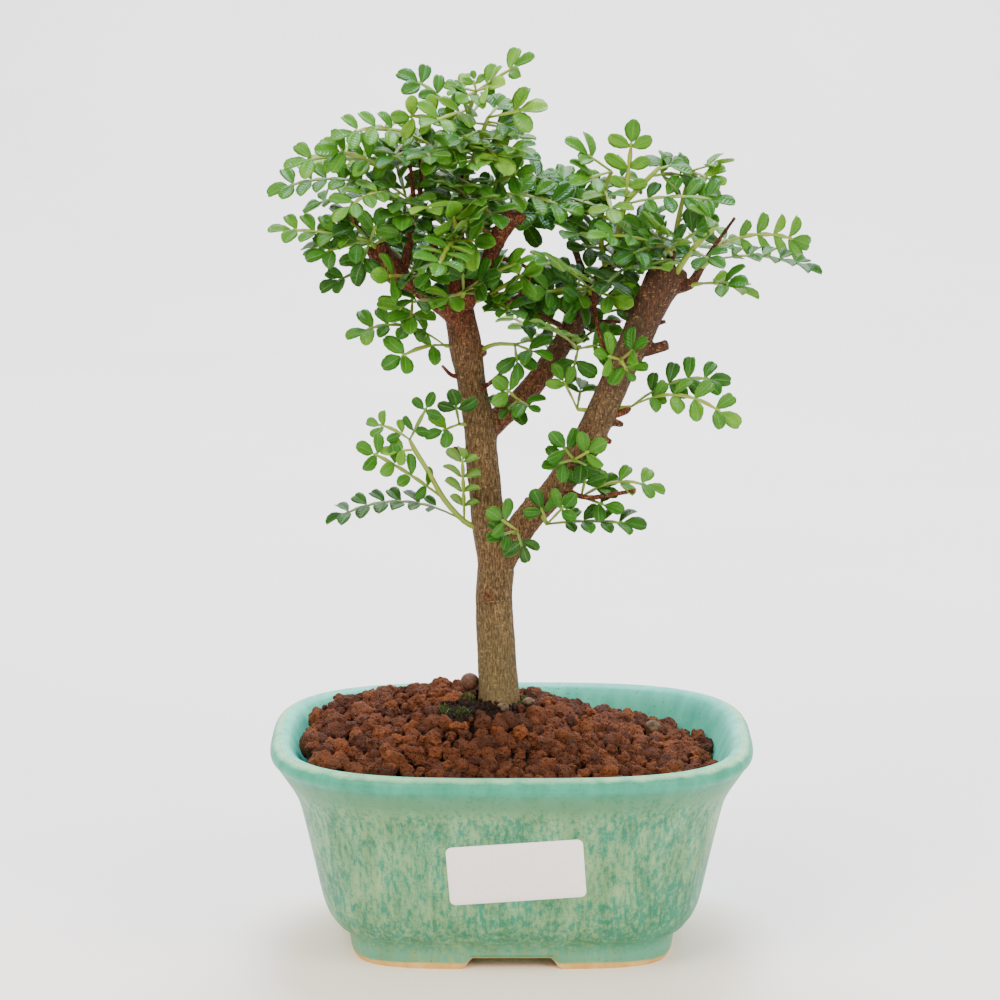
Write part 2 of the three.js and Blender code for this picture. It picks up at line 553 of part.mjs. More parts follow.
    [[1, -50.1, 113.5, -8, 6, 35, 0.95, 6], [2, -40.9, 135.4, -12, 4, 60, 0.9, 1],
     [5, -38.4, 141.6, -2, 3, 60, 0.65, 1], [5, -20.4, 149.4, -9, 3, 75, 0.75, 0],
     [1, -13.2, 135.4, -12, 2, 12, 0.85, 0]],
  ],
  trunk_left_tuft: [
    [[-9, 141, 0, 0.7], [-13.8, 141.2, -3, 0.6]],
    [[1, -15.6, 150.6, -6, 1, 70, 0.9, 0], [1, -22.6, 137.6, -8, 1, 65, 0.95, 0]],
  ],
  trunk_left_upper: [
    [[-12.6, 161.4, 0, 0.8], [-17.6, 162.2, -1, 0.7]],
    [[1, -43.9, 163, -6, 4, 45, 0.95, 5], [1, -34.2, 155.3, -14, 2, 70, 1, 2]],
  ],
  back_left: [
    [[-24, 177.4, -2, 0.8], [-25.5, 182, 8, 0.7]],
    [[1, -44, 189, 34, 3, 40, 1, 3], [1, -29, 199, 38, 2, 60, 1, 1]],
  ],
  back_leader: [
    [[-13.6, 187, 3, 0.8], [-10, 193, 12, 0.7]],
    [[1, 3.6, 199, 44, 3, 50, 1, 3], [1, -17, 208, 36, 2, 65, 1, 1]],
  ],
  back_right: [
    [[37, 174, -3, 0.8], [40.4, 184, 8, 0.7]],
    [[1, 60, 190, 32, 2, 40, 1, 2], [1, 32, 196, 38, 2, 60, 1, 1]],
  ],
  back_middle: [
    [[10, 157.6, 4, 0.7], [10.6, 160, 13, 0.7]],
    [[1, -2, 170, 38, 3, 50, 1, 2]],
  ],
};

// A leaf's outline, flat: s runs along its rib from the stem, t runs across
function leafletOutlines(length, pairs, size, draws) {
  const end = length - Math.min(LEAFLET * size, 0.55 * length);
  const last = end - 0.8;
  const first = Math.min(last, Math.max(2.4, 0.2 * length));
  const room = Math.floor((last - first) / (LEAFLET_PITCH * size)) + 1;
  const count = Math.min(pairs, room);
  const pitch = count > 1 ? (last - first) / (count - 1) : 6 * size;
  const outlines = { minus: [], plus: [] };
  for (let k = 0; k < count; k += 1) {
    const s = count > 1 ? first + pitch * k : last;
    for (const [side, list] of [[-1, outlines.minus], [1, outlines.plus]]) {
      const draw = draws[2 * k + (side > 0 ? 1 : 0)];
      const reach = LEAFLET * size * (k === 0 && count > 2 ? 0.82 : 0.95) * (0.92 + 0.16 * draw);
      const width = Math.min(0.68 * reach, 0.88 * pitch);
      const lean = THREE.MathUtils.degToRad(LEAFLET_ANGLE + 10 * (draw - 0.5));
      const point = (along, ahead) => [
        s + Math.cos(lean) * along * reach + Math.sin(lean) * ahead * width,
        side * (RIB_HALF_WIDTH + Math.sin(lean) * along * reach - Math.cos(lean) * ahead * width),
      ];
      list.push([
        [s - 0.6, side * RIB_HALF_WIDTH], point(0.6, -0.5), point(1, -0.06), point(0.68, 0.5),
        [s + 0.6, side * RIB_HALF_WIDTH],
      ]);
    }
  }
  const reach = length - end;
  outlines.tip = [
    [end, -RIB_HALF_WIDTH], [end + 0.6 * reach, -0.31 * reach], [length, 0],
    [end + 0.6 * reach, 0.31 * reach], [end, RIB_HALF_WIDTH],
  ];
  return outlines;
}

// The leaf in space: its rib is arched, and its two halves are folded up from the rib a little
function leafFrame(base, tip, facing, arch) {
  const along = tip.clone().sub(base);
  const length = along.length();
  along.normalize();
  const angle = THREE.MathUtils.degToRad(facing - EYE_TILT);
  const normal = new THREE.Vector3(0, -Math.sin(angle), Math.cos(angle));
  normal.addScaledVector(along, -normal.dot(along)).normalize();
  const side = normal.clone().cross(along);
  const place = (s, t, n) => {
    const share = s / length;
    const point = base.clone().addScaledVector(along, s).addScaledVector(side, t);
    point.z += arch * 4 * share * (1 - share);
    return point.addScaledVector(normal, n + FOLD * Math.abs(t));
  };
  return { base, length, place };
}

function leafletDisc(frame, outline) {
  const points = outline.map(([s, t]) => frame.place(s, t, 0));
  const root = points[0].clone().add(points[4]).multiplyScalar(0.5);
  const along = points[2].clone().sub(root);
  const length = along.length();
  along.normalize();
  const belly = points[3].clone().sub(points[1]);
  const normal = along.clone().cross(belly).normalize();
  const across = normal.clone().cross(along);
  return {
    points,
    centre: root.addScaledVector(along, 0.55 * length),
    along,
    across,
    normal,
    halfLength: 0.5 * length + 0.7,
    halfWidth: 0.5 * belly.length() + 0.7,
  };
}

// Whether the segment from p to q touches the disc, or comes nearer to it than the gap
function touches(p, q, disc, gap) {
  const up = disc.normal;
  const hp = up.dot(p) - up.dot(disc.centre);
  const hq = up.dot(q) - up.dot(disc.centre);
  if (hp * hq > 0 && Math.min(Math.abs(hp), Math.abs(hq)) > gap) return false;
  const shares = hp * hq < 0 ? [0, 1, hp / (hp - hq)] : [0, 1];
  return shares.some((share) => {
    if (Math.abs(hp + (hq - hp) * share) > gap) return false;
    const point = p.clone().lerp(q, share).sub(disc.centre);
    const u = point.dot(disc.along) / disc.halfLength;
    const v = point.dot(disc.across) / disc.halfWidth;
    return u * u + v * v < 1;
  });
}

function distanceToSegment(point, a, b) {
  const line = b.clone().sub(a);
  const share = THREE.MathUtils.clamp(point.clone().sub(a).dot(line) / line.lengthSq(), 0, 1);
  return point.distanceTo(a.clone().addScaledVector(line, share));
}

function segmentsOf(points) {
  return points.slice(1).map((point, i) => [points[i], point]);
}

function capsules(points) {
  return segmentsOf(points).map(([from, to]) => {
    const radius = Math.max(from[3], to[3]);
    return { a: seen(from), b: seen(to), radius };
  });
}

function leafAt(base, [, across, up, depth, pairs, facing, size, arch], draws, shift, turn) {
  const tip = seen([across, up, depth + shift]);
  const frame = leafFrame(base, tip, facing + turn + 16 * (draws[0] - 0.5), arch);
  const outlines = leafletOutlines(frame.length, pairs, size, draws.slice(1));
  const discs = [...outlines.minus, ...outlines.plus, outlines.tip].map((o) => leafletDisc(frame, o));
  const ribShares = [0.2, 0.4, 0.6, 0.8];
  const rib = ribShares.map((share) => frame.place(share * frame.length, 0, 0));
  const edges = [...segmentsOf(rib), ...discs.flatMap((disc) => segmentsOf(disc.points))];
  return { frame, outlines, discs, edges, middle: frame.place(0.6 * frame.length, 0, 0) };
}

function leavesTouch(leaf, other, crowded) {
  const near = (point) => crowded > 0 && point.distanceTo(leaf.frame.base) < crowded;
  const reach = 0.6 * (leaf.frame.length + other.frame.length) + 16;
  if (leaf.middle.distanceTo(other.middle) > reach) return false;
  const hits = (edges, discs) => edges.some(([p, q]) => !near(p) && !near(q)
    && discs.some((disc) => !near(disc.centre) && touches(p, q, disc, LEAF_GAP)));
  return hits(leaf.edges, other.discs) || hits(other.edges, leaf.discs);
}

const BRANCHES = Object.values(LIMBS).flatMap(([, points]) => capsules(points));
const STEMS = Object.entries(SPRAYS).flatMap(([name, [stem]]) => capsules(stem)
  .map((capsule) => ({ ...capsule, name })));
const SHIFTS = [0, 3, -3, 6, -6, 9, -9, 12, -12, 16, -16, 20, -20, 25, -25, 30, -30];
const TURNS = [0, 18, -18, 36];
const SAME_SPRAY_CROWDED = 3;

function isClear(name, leaf, placed) {
  const woodHit = leaf.discs.some((disc) => [...disc.points, disc.centre].some((point) => BRANCHES
    .some(({ a, b, radius }) => distanceToSegment(point, a, b) < radius + BRANCH_GAP)));
  if (woodHit) return false;
  const stemHit = leaf.discs.some((disc) => STEMS
    .some((stem) => stem.name !== name && touches(stem.a, stem.b, disc, stem.radius + LEAF_GAP / 2)));
  if (stemHit) return false;
  return !placed.some((other) => {
    const crowded = other.name === name ? SAME_SPRAY_CROWDED : 0;
    return leavesTouch(leaf, other.leaf, crowded);
  });
}

// Every leaf keeps its place as seen from the front: its tip moves nearer or further until it is clear
function placeLeaves() {
  const random = seededRandom(5);
  const placed = [];
  for (const [name, [stem, leaves]] of Object.entries(SPRAYS)) {
    for (const row of leaves) {
      const draws = Array.from({ length: 15 }, random);
      const base = seen(stem[row[0]]);
      const tries = SHIFTS.flatMap((shift) => TURNS.map((turn) => [shift, turn]));
      const found = tries.find((move) => isClear(name, leafAt(base, row, draws, ...move), placed));
      placed.push({ name, leaf: leafAt(base, row, draws, ...(found ?? [0, 0])) });
    }
  }
  return placed;
}

// Both faces of a blade are split alike, across its rib and leaflet by leaflet, so that an arched blade
// keeps its thickness. A fan lists corners of the ring, counter-clockwise.
function bladeFans(leaflets, corners) {
  const across = (corner) => corners - 1 - corner;
  const end = 5 * leaflets + 1;
  const roots = Array.from({ length: leaflets }, (_, k) => 5 * k + 1);
  const stations = [0, ...roots.flatMap((root) => [root, root + 4]), end];
  const rib = segmentsOf(stations).map(([from, to]) => [from, to, across(to), across(from)]);
  const blades = roots.map((root) => [root, root + 1, root + 2, root + 3, root + 4]);
  const opposite = blades.map((blade) => blade.map(across).reverse());
  const tip = [[end, end + 1, end + 2], [end, end + 2, end + 4], [end + 2, end + 3, end + 4]];
  return [...rib, ...blades, ...opposite, ...tip];
}

function leafBody({ frame, outlines }) {
  const ring = [
    [0, -ROOT_HALF_WIDTH], ...outlines.minus.flat(), ...outlines.tip,
    ...outlines.plus.flat().reverse(), [0, ROOT_HALF_WIDTH],
  ];
  const corners = ring.length;
  const points = [-BLADE / 2, BLADE / 2].flatMap((n) => ring.map(([s, t]) => frame.place(s, t, n)));
  const triangles = bladeFans(outlines.minus.length, corners)
    .flatMap((fan) => fan.slice(2).map((corner, i) => [fan[0], fan[i + 1], corner]));
  const lower = triangles.map(([a, b, c]) => [c, b, a]);
  const upper = triangles.map((triangle) => triangle.map((corner) => corner + corners));
  const edge = ring.flatMap((_, i) => {
    const next = (i + 1) % corners;
    return [[i, next, next + corners], [i, next + corners, i + corners]];
  });
  const plate = new THREE.BufferGeometry().setFromPoints(points);
  plate.setIndex([...lower, ...upper, ...edge].flat());
  return solid(plate);
}

// Materials' colours
const GLAZE = 0x62b9a6;
const GRANULE = 0x7a452c;
const BARK = 0x7a6248;
const LEAF_GREENS = [0x2f6b22, 0x3d7a2c, 0x4e8a35];
const PAPER = 0xf1f0ee;
const PLASTIC = 0x2b2b2b;

const bonsai = new THREE.Group();
bonsai.add(mesh('pot', potBody(), GLAZE, 0.3));
bonsai.add(mesh('blank_label', labelBody(), PAPER, 0.8));
bonsai.add(mesh('drain_screen_left', screenBody(-DRAIN_OFFSET), PLASTIC, 0.6));
bonsai.add(mesh('drain_screen_right', screenBody(DRAIN_OFFSET), PLASTIC, 0.6));

const woodMargin = wood(CLEARANCE);
const soil = soilBlock()
  .subtract(screenPocket(-DRAIN_OFFSET))
  .subtract(screenPocket(DRAIN_OFFSET))
  .subtract(woodMargin);
bonsai.add(mesh('soil', largestPiece(soil), GRANULE, 0.95));
bonsai.add(mesh('trunk', wood(0), BARK, 0.9));

const placedLeaves = placeLeaves();
Object.entries(SPRAYS).forEach(([name, [stem]], i) => {
  const plates = placedLeaves.filter((placed) => placed.name === name).map(({ leaf }) => leafBody(leaf));
  const spray = wasm.Manifold.union([limb(4, stem, 0, STEM_OVERRUN), ...plates]).subtract(woodMargin);
  bonsai.add(mesh(name, largestPiece(spray), LEAF_GREENS[i % LEAF_GREENS.length], 0.5));
});

// Stand the middle of the bounding box on the origin
const bounds = new THREE.Box3().setFromObject(bonsai);
const middle = bounds.getCenter(new THREE.Vector3());
bonsai.position.set(-middle.x, -middle.y, -bounds.min.z);

export default bonsai;
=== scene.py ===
# %% [markdown]
# A small indoor bonsai: a forked trunk with feathery leaves, standing in clay granules in a glazed pot.
# The solids arrive as a fixed frame that gives every place and size. This lesson dresses them: it makes
# finer leaves, bark, granules and glaze in the same places, and leaves the frame's own objects as they are.

# %% Load the frame
import math

import bmesh
import bpy
import numpy as np
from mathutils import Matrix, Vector


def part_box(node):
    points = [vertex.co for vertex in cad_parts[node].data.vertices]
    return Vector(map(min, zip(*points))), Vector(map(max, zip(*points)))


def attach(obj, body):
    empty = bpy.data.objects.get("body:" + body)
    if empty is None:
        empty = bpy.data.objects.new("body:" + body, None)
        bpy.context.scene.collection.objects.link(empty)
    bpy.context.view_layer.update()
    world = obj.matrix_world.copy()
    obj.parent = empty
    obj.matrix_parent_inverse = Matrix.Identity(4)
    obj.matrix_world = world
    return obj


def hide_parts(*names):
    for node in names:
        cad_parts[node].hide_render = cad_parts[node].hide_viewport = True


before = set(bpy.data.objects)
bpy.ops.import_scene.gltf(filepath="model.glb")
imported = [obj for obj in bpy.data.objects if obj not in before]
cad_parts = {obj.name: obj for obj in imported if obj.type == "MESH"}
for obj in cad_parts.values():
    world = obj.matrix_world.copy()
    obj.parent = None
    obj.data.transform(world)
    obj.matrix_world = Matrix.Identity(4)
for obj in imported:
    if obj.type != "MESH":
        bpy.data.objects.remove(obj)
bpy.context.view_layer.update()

MM = 0.001
pot_low, pot_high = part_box("pot")
POT_X = (pot_low.x + pot_high.x) / 2
POT_Y = (pot_low.y + pot_high.y) / 2
print("nodes", len(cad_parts), "pot centre", round(POT_X, 4), round(POT_Y, 4))

# %% [markdown]
# Every piece is worked out in millimetres from the middle of the pot, because those are the numbers a
# potter or a gardener would use. One function turns such points into a mesh in metres at its final place,
# so each object itself stays at the origin, unturned and unscaled.

# %% Meshes from points and faces
def to_row_frame(points):
    return np.asarray(points, float) * MM + np.array([POT_X, POT_Y, 0.0])


def make_object(name, points, faces, attributes=None, smooth=True):
    mesh = bpy.data.meshes.new(name)
    mesh.from_pydata(to_row_frame(points).tolist(), [], [list(face) for face in faces])
    for label, values in (attributes or {}).items():
        values = np.asarray(values, float)
        kind = "FLOAT_VECTOR" if values.ndim == 2 else "FLOAT"
        layer = mesh.attributes.new(label, kind, "POINT")
        layer.data.foreach_set("vector" if values.ndim == 2 else "value", values.ravel())
    mesh.shade_smooth() if smooth else mesh.shade_flat()
    obj = bpy.data.objects.new(name, mesh)
    bpy.context.scene.collection.objects.link(obj)
    return obj


def plain_mesh(obj):
    """Swaps an object's live modifiers for the mesh that they make."""
    graph = bpy.context.evaluated_depsgraph_get()
    made = obj.evaluated_get(graph)
    mesh = bpy.data.meshes.new_from_object(made, preserve_all_data_layers=True, depsgraph=graph)
    obj.modifiers.clear()
    obj.data = mesh
    return obj


def triangles(obj):
    return sum(len(face.vertices) - 2 for face in obj.data.polygons)


print("triangles in the frame", sum(triangles(obj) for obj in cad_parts.values()))

# %% [markdown]
# Colours are written as the sRGB hex values a paint chart would give, and shaders want linear light, so one
# function converts them. Another one adds a node with its settings and links, which keeps each material
# readable as a recipe. Every pattern is laid on Object coordinates, which are real metres here, so a noise of
# scale 1000 has waves 1 mm long. Several finishes need only one noise, for their colour and their relief
# alike, and share one recipe.

# %% Colours and nodes
def linear(hex_colour):
    parts = [int(hex_colour[i:i + 2], 16) / 255 for i in (1, 3, 5)]
    parts = [c / 12.92 if c <= 0.04045 else ((c + 0.055) / 1.055) ** 2.4 for c in parts]
    return (*parts, 1.0)


def connect(tree, node, inputs):
    """Sets a node's inputs, each to a value, to a socket's output or to another node's first output."""
    for name, value in inputs.items():
        if isinstance(value, bpy.types.Node):
            value = value.outputs[0]
        if isinstance(value, bpy.types.NodeSocket):
            tree.links.new(value, node.inputs[name])
        else:
            node.inputs[name].default_value = value


def add(tree, kind, inputs=None, stops=(), **settings):
    """Adds a node. Inputs are values, sockets or nodes; stops are a colour ramp's (position, hex colour)."""
    node = tree.nodes.new(kind)
    for name, value in settings.items():
        setattr(node, name, value)
    connect(tree, node, inputs or {})
    for place, (position, colour) in enumerate(stops):
        elements = node.color_ramp.elements
        stop = elements[place] if place < 2 else elements.new(position)
        stop.position, stop.color = position, linear(colour)
    return node


def new_material(name, sockets):
    """A material with one shader; gives it, its tree, the shader and the Object coordinates."""
    material = bpy.data.materials.new(name)
    material.use_nodes = True
    tree = material.node_tree
    tree.nodes.clear()
    shader = add(tree, "ShaderNodeBsdfPrincipled", sockets)
    add(tree, "ShaderNodeOutputMaterial", {"Surface": shader})
    return material, tree, shader, add(tree, "ShaderNodeTexCoord").outputs["Object"]


def grainy_material(name, sockets, noise, stops, relief):
    """A material whose colour and bump follow the same noise."""
    material, tree, shader, where = new_material(name, sockets)
    grain = add(tree, "ShaderNodeTexNoise", {"Vector": where, **noise})
    tone = add(tree, "ShaderNodeValToRGB", {0: grain}, stops=stops)
    bump = add(tree, "ShaderNodeBump", {"Height": grain, **relief})
    connect(tree, shader, {"Base Color": tone, "Normal": bump})
    return material


# %% [markdown]
# The tree is described as it looks from the front: each point is [across, up, depth] on the upright plane
# through the trunk, and it slides along the line of sight to its depth. The camera stands at the same eye
# point, so what was read from the front falls in the same place in the picture.

# %% The eye and the camera
EYE = np.array([-3.1, -900.0, 315.0])
LENS = 125.2
LOOK_DOWN = 12.18


def seen(point):
    across, up, depth = point[:3]
    stretch = 1 + depth / -EYE[1]
    return np.array([EYE[0] + (across - EYE[0]) * stretch, depth, EYE[2] + (up - EYE[2]) * stretch])


camera_data = bpy.data.cameras.new("camera")
camera_data.sensor_width = 36
camera_data.lens = LENS
camera_data.clip_end = 50
camera = bpy.data.objects.new("camera", camera_data)
camera.location = to_row_frame([EYE])[0]
camera.rotation_euler = (math.radians(90 - LOOK_DOWN), 0, 0)
bpy.context.scene.collection.objects.link(camera)
bpy.context.scene.camera = camera
print("camera at", [round(c, 3) for c in camera.location])

# %% [markdown]
# The pot is stoneware, pressed into a mould: a rounded rectangle with a rolled lip and a foot ring that is
# cut away in the middle of each side. Its section is a handful of smooth runs that meet in creases. Each run
# is sampled along a smooth curve through its points and swept round a superellipse that gets squarer towards
# the feet. Two numbers ride along with every point of the section: how much it is lip, and how much the
# glaze breaks to cream there, as it does on every sharp edge where it runs thin.

# %% The pot's section
# half length, height, lip, cream edge
POT_RUNS = [
    [(0, 3.8, 0, 0), (36, 3.8, 0, 0)],
    [(36, 3.8, 0, 0), (37, 0, 0, 0)],
    [(37, 0, 0, 0), (42.3, 0, 0, 0)],
    [(42.3, 0, 0, 0), (43, 1.2, 0, 0), (43.4, 3, 0, 0), (43.7, 5.2, 0, 0), (44.1, 6.5, 0, 0.2)],
    [(44.1, 6.5, 0, 0.2), (45.4, 7.9, 0, 0), (47.2, 9.6, 0, 0), (50.2, 15, 0, 0), (53, 27, 0, 0),
     (55.3, 37, 0, 0), (56.9, 43, 0, 0), (58.5, 46.4, 0, 0), (60.4, 49.4, 0, 0), (62, 51.8, 0.1, 0.05),
     (63.2, 53.6, 0.5, 0.35),
     (64, 54.5, 1, 0.2), (64.3, 55.4, 1, 0), (64.1, 56.4, 1, 0.1), (63.4, 57.3, 1, 0.7), (62.2, 57.9, 1, 1),
     (60.9, 58, 1, 0.5), (59.7, 57.6, 1, 0.1), (58.7, 56.6, 1, 0.25), (57.4, 54, 0.6, 0.1),
     (54, 45, 0.3, 0), (50.6, 36, 0.2, 0), (46, 18, 0, 0), (43, 12, 0, 0), (38, 9, 0, 0)],
    [(38, 9, 0, 0), (0, 9, 0, 0)],
]
POT_SIDES = 288
LIP_TOP = 58


def half_depth(half_length):
    return half_length - 14.5 * np.minimum(1, half_length / 43)


def squareness(height):
    return 4.5 - 1.3 * np.minimum(1, height / 54)


def rim(angle, half_length, height):
    """A point on the rounded rectangle of this half length, at this height."""
    power = squareness(height)
    c, s = math.cos(angle), math.sin(angle)
    reach = (abs(c) ** power + abs(s) ** power) ** (-1 / power)
    return [half_length * c * reach, half_depth(half_length) * s * reach, height]


def smooth_path(points, steps):
    points = np.asarray(points, float)
    if len(points) == 2:
        return [points[0] + (points[1] - points[0]) * i / steps for i in range(steps)] + [points[1]]
    ends = np.vstack([2 * points[0] - points[1], points, 2 * points[-1] - points[-2]])
    out = []
    for i in range(1, len(ends) - 2):
        a, b, c, d = ends[i - 1:i + 3]
        for t in np.arange(steps) / steps:
            out.append(0.5 * (2 * b + (c - a) * t + (2 * a - 5 * b + 4 * c - d) * t ** 2
                              + (3 * b - a - 3 * c + d) * t ** 3))
    return out + [points[-1]]


section = []
for run in POT_RUNS:
    rows = smooth_path(run, 3 if len(run) == 2 else 5)
    section += rows if not section else rows[1:]
section = np.array(section)
print("section rows", len(section))

# %% [markdown]
# The foot ring is lifted in the middle of each side, over a smooth step about 3 mm wide, which gives the
# soft corners of a cut made in wet clay. The two drain holes are cut with a Boolean, whose result replaces
# the mesh. The clay stays bare where the pot stood in the kiln, on the lowest 1.5 mm of each foot.

# %% The pot
FOOT_RING_TOP = 3.79
FOOT_RING_INSIDE = 36.1
FOOT_CUT = 3.1
CUT_FADES_AT = 4.6
# where the cut's smooth step starts and ends, from the middle of a long and of a short side
CUT_ALONG_X, CUT_ALONG_Y = (10.2, 13.2), (7.6, 10.6)
BARE_BAND = (1.4, 1.8)
DRAIN_X, DRAIN_RADIUS = 22, 7


def smooth_step(value, low, high):
    share = np.clip((value - low) / (high - low), 0, 1)
    return share * share * (3 - 2 * share)


def pot_mesh():
    points, lip, cream, inside, bare = [], [], [], [], []
    inner_from = int(np.argmax(section[:, 1] >= LIP_TOP - 0.01))
    for row, (half_length, height, is_lip, is_cream) in enumerate(section):
        for side in range(POT_SIDES):
            x, y, z = rim(2 * math.pi * side / POT_SIDES, half_length, height)
            cut = 0
            if height < FOOT_RING_TOP and half_length > FOOT_RING_INSIDE:
                cut = 1 - min(smooth_step(abs(x), *CUT_ALONG_X), smooth_step(abs(y), *CUT_ALONG_Y))
                z += FOOT_CUT * (1 - height / CUT_FADES_AT) * cut
            points.append([x, y, z])
            lip.append(is_lip)
            cream.append(is_cream)
            inside.append(float(row > inner_from))
            wobble = 0.25 * math.sin(7 * side * 2 * math.pi / POT_SIDES)
            if cut > 0.5:
                bare.append(float(half_length < 42.6 and row < inner_from))
            else:
                bare.append(1 - smooth_step(z + wobble, *BARE_BAND))
    faces = []
    for row in range(len(section) - 1):
        for side in range(POT_SIDES):
            a, b = row * POT_SIDES + side, row * POT_SIDES + (side + 1) % POT_SIDES
            faces.append((a, b, b + POT_SIDES, a + POT_SIDES))
    return points, faces, {"lip": lip, "cream": cream, "inside": inside, "bare": bare}


def weld(obj):
    """Merges the points that fall together at the poles of a swept mesh, and turns its faces outwards."""
    work = bmesh.new()
    work.from_mesh(obj.data)
    bmesh.ops.remove_doubles(work, verts=work.verts, dist=1e-7)
    bmesh.ops.dissolve_degenerate(work, edges=work.edges, dist=1e-8)
    bmesh.ops.recalc_face_normals(work, faces=work.faces)
    work.to_mesh(obj.data)
    work.free()


def cylinder(name, x, y, radius, low, high, sides=48):
    ring = [(x + radius * math.cos(2 * math.pi * i / sides), y + radius * math.sin(2 * math.pi * i / sides))
            for i in range(sides)]
    points = [(*p, low) for p in ring] + [(*p, high) for p in ring]
    faces = [tuple(reversed(range(sides))), tuple(range(sides, 2 * sides))]
    faces += [(i, (i + 1) % sides, sides + (i + 1) % sides, sides + i) for i in range(sides)]
    return make_object(name, points, faces, smooth=False)


pot = make_object("glazed_pot", *pot_mesh())
weld(pot)
drills = [cylinder("drill", x, 0, DRAIN_RADIUS, -5, 20) for x in (-DRAIN_X, DRAIN_X)]
for drill in drills:
    cut = pot.modifiers.new("drain hole", "BOOLEAN")
    cut.operation, cut.solver, cut.object = "DIFFERENCE", "EXACT", drill
plain_mesh(pot)
for drill in drills:
    bpy.data.objects.remove(drill)
print("pot triangles", triangles(pot))

# %% [markdown]
# The glaze is a satin stoneware glaze that breaks: over turquoise lies a sage veil, torn into runs by gravity
# while the glaze was liquid. The veil could be painted, but a sum of a few patterns tears it just as chance
# does. One noise is stretched four to one in height for the runs, about 1 mm wide and 4 mm long, one Voronoi
# gives the 1.4 mm blots of burst bubbles, a fine noise of 0.4 mm frays both, and a slow noise of 30 mm thins
# the veil in places. Under the lip the veil is whole for 4 mm, low on the right it runs out, and the lip and
# the inside are clean turquoise.

# %% Glaze: the torn veil
glaze, tree, shader, where = new_material("turquoise breaking stoneware glaze", {
    "IOR": 1.45, "Specular IOR Level": 0.4, "Coat Weight": 0.05, "Coat Roughness": 0.25})
lip, cream, inside, bare = (add(tree, "ShaderNodeAttribute", attribute_name=name).outputs["Fac"]
                            for name in ("lip", "cream", "inside", "bare"))
place = add(tree, "ShaderNodeSeparateXYZ", {0: where})
drawn = add(tree, "ShaderNodeMapping", {"Vector": where, "Scale": (900, 900, 230)})
runs = add(tree, "ShaderNodeTexNoise", {"Vector": drawn, "Scale": 1.0, "Detail": 3.0, "Roughness": 0.6})
blots = add(tree, "ShaderNodeTexVoronoi", {"Vector": where, "Scale": 700.0})
blot = add(tree, "ShaderNodeMapRange", {0: blots.outputs["Distance"], 1: 0.15, 2: 0.5, 3: 0.1, 4: 0.0})
speckle = add(tree, "ShaderNodeTexNoise", {"Vector": where, "Scale": 2600.0, "Detail": 1.0})
thin = add(tree, "ShaderNodeTexNoise", {"Vector": where, "Scale": 34.0, "Detail": 3.0})
band = add(tree, "ShaderNodeMapRange", {0: place.outputs["Z"], 1: 0.0455, 2: 0.0495})
right = add(tree, "ShaderNodeMapRange", {0: place.outputs["X"], 1: -0.005, 2: 0.035})
low = add(tree, "ShaderNodeMapRange", {0: place.outputs["Z"], 1: 0.03, 2: 0.008})
spent = add(tree, "ShaderNodeMath", {0: right, 1: low}, operation="MULTIPLY")
veil = add(tree, "ShaderNodeMath", {0: runs, 1: blot}, operation="ADD")
for source, amount in ((speckle, 0.36), (thin, 0.5), (band, 0.16), (spent, -0.25)):
    veil = add(tree, "ShaderNodeMath", {0: source, 1: amount, 2: veil}, operation="MULTIPLY_ADD")
torn = add(tree, "ShaderNodeMapRange", {0: veil, 1: 0.82, 2: 1.08})
clean = add(tree, "ShaderNodeMath", {0: lip, 1: inside}, operation="MAXIMUM")
keep = add(tree, "ShaderNodeMath", {0: clean, 1: -0.9, 2: 1.0}, operation="MULTIPLY_ADD")
pale = add(tree, "ShaderNodeMath", {0: torn, 1: keep}, operation="MULTIPLY")
print("veil nodes", len(tree.nodes))

# %% [markdown]
# The colours come in layers, each mixed over the one before by its own mask: turquoise, painted lighter
# towards the foot as if lit from below by the pale floor, then the veil, the lip, the inside, and the cream
# edge where the glaze runs thin over the sharp corner of the lip. Pinholes, where gas broke through, are
# 0.2 mm wide in life and drawn a little wider, to show.
# Last comes the bare clay of the feet. The glaze lies thicker where there is no veil, so its bump follows it.

# %% Glaze: colours and relief
pool = add(tree, "ShaderNodeTexNoise", {"Vector": drawn, "Scale": 0.25, "Detail": 4.0})
tones = {}
for part, thick, thin_tone in (("ground", "#146B50", "#288A6C"), ("veil", "#5D8A58", "#81A777"),
                               ("lip", "#1F8266", "#35A083"), ("inside", "#3FAE90", "#5CC9AB")):
    tones[part] = add(tree, "ShaderNodeValToRGB", {0: pool}, stops=[(0.3, thick), (0.7, thin_tone)])
fray = add(tree, "ShaderNodeTexNoise", {"Vector": where, "Scale": 260.0, "Detail": 4.0})
frayed = add(tree, "ShaderNodeMath", {0: fray, 1: 0.9, 2: cream}, operation="MULTIPLY_ADD")
edge = add(tree, "ShaderNodeMapRange", {0: frayed, 1: 1.0, 2: 1.5, 4: 0.8})
pins = add(tree, "ShaderNodeTexVoronoi", {"Vector": where, "Scale": 880.0})
uneven = add(tree, "ShaderNodeMath", {0: pins.outputs["Color"], 1: 0.25, 2: pins.outputs["Distance"]},
             operation="MULTIPLY_ADD")
pin_mask = add(tree, "ShaderNodeMapRange", {0: uneven, 1: 0.34, 2: 0.2, 4: 0.6})
clay = add(tree, "ShaderNodeValToRGB", {0: fray}, stops=[(0.3, "#D9A552"), (0.7, "#EFC678")])
# painted light: the glaze is lightened below 9 mm, as if lit from below by the pale floor
painted_floor_light = add(tree, "ShaderNodeMapRange", {0: place.outputs["Z"], 1: 0.009, 2: 0.004, 4: 0.75})
whole = add(tree, "ShaderNodeMath", {0: band, 1: 0.8}, operation="MULTIPLY")
veil_tone = add(tree, "ShaderNodeMix", {0: whole, 6: tones["veil"], 7: linear("#437F5B")}, data_type="RGBA")
colour = tones["ground"]
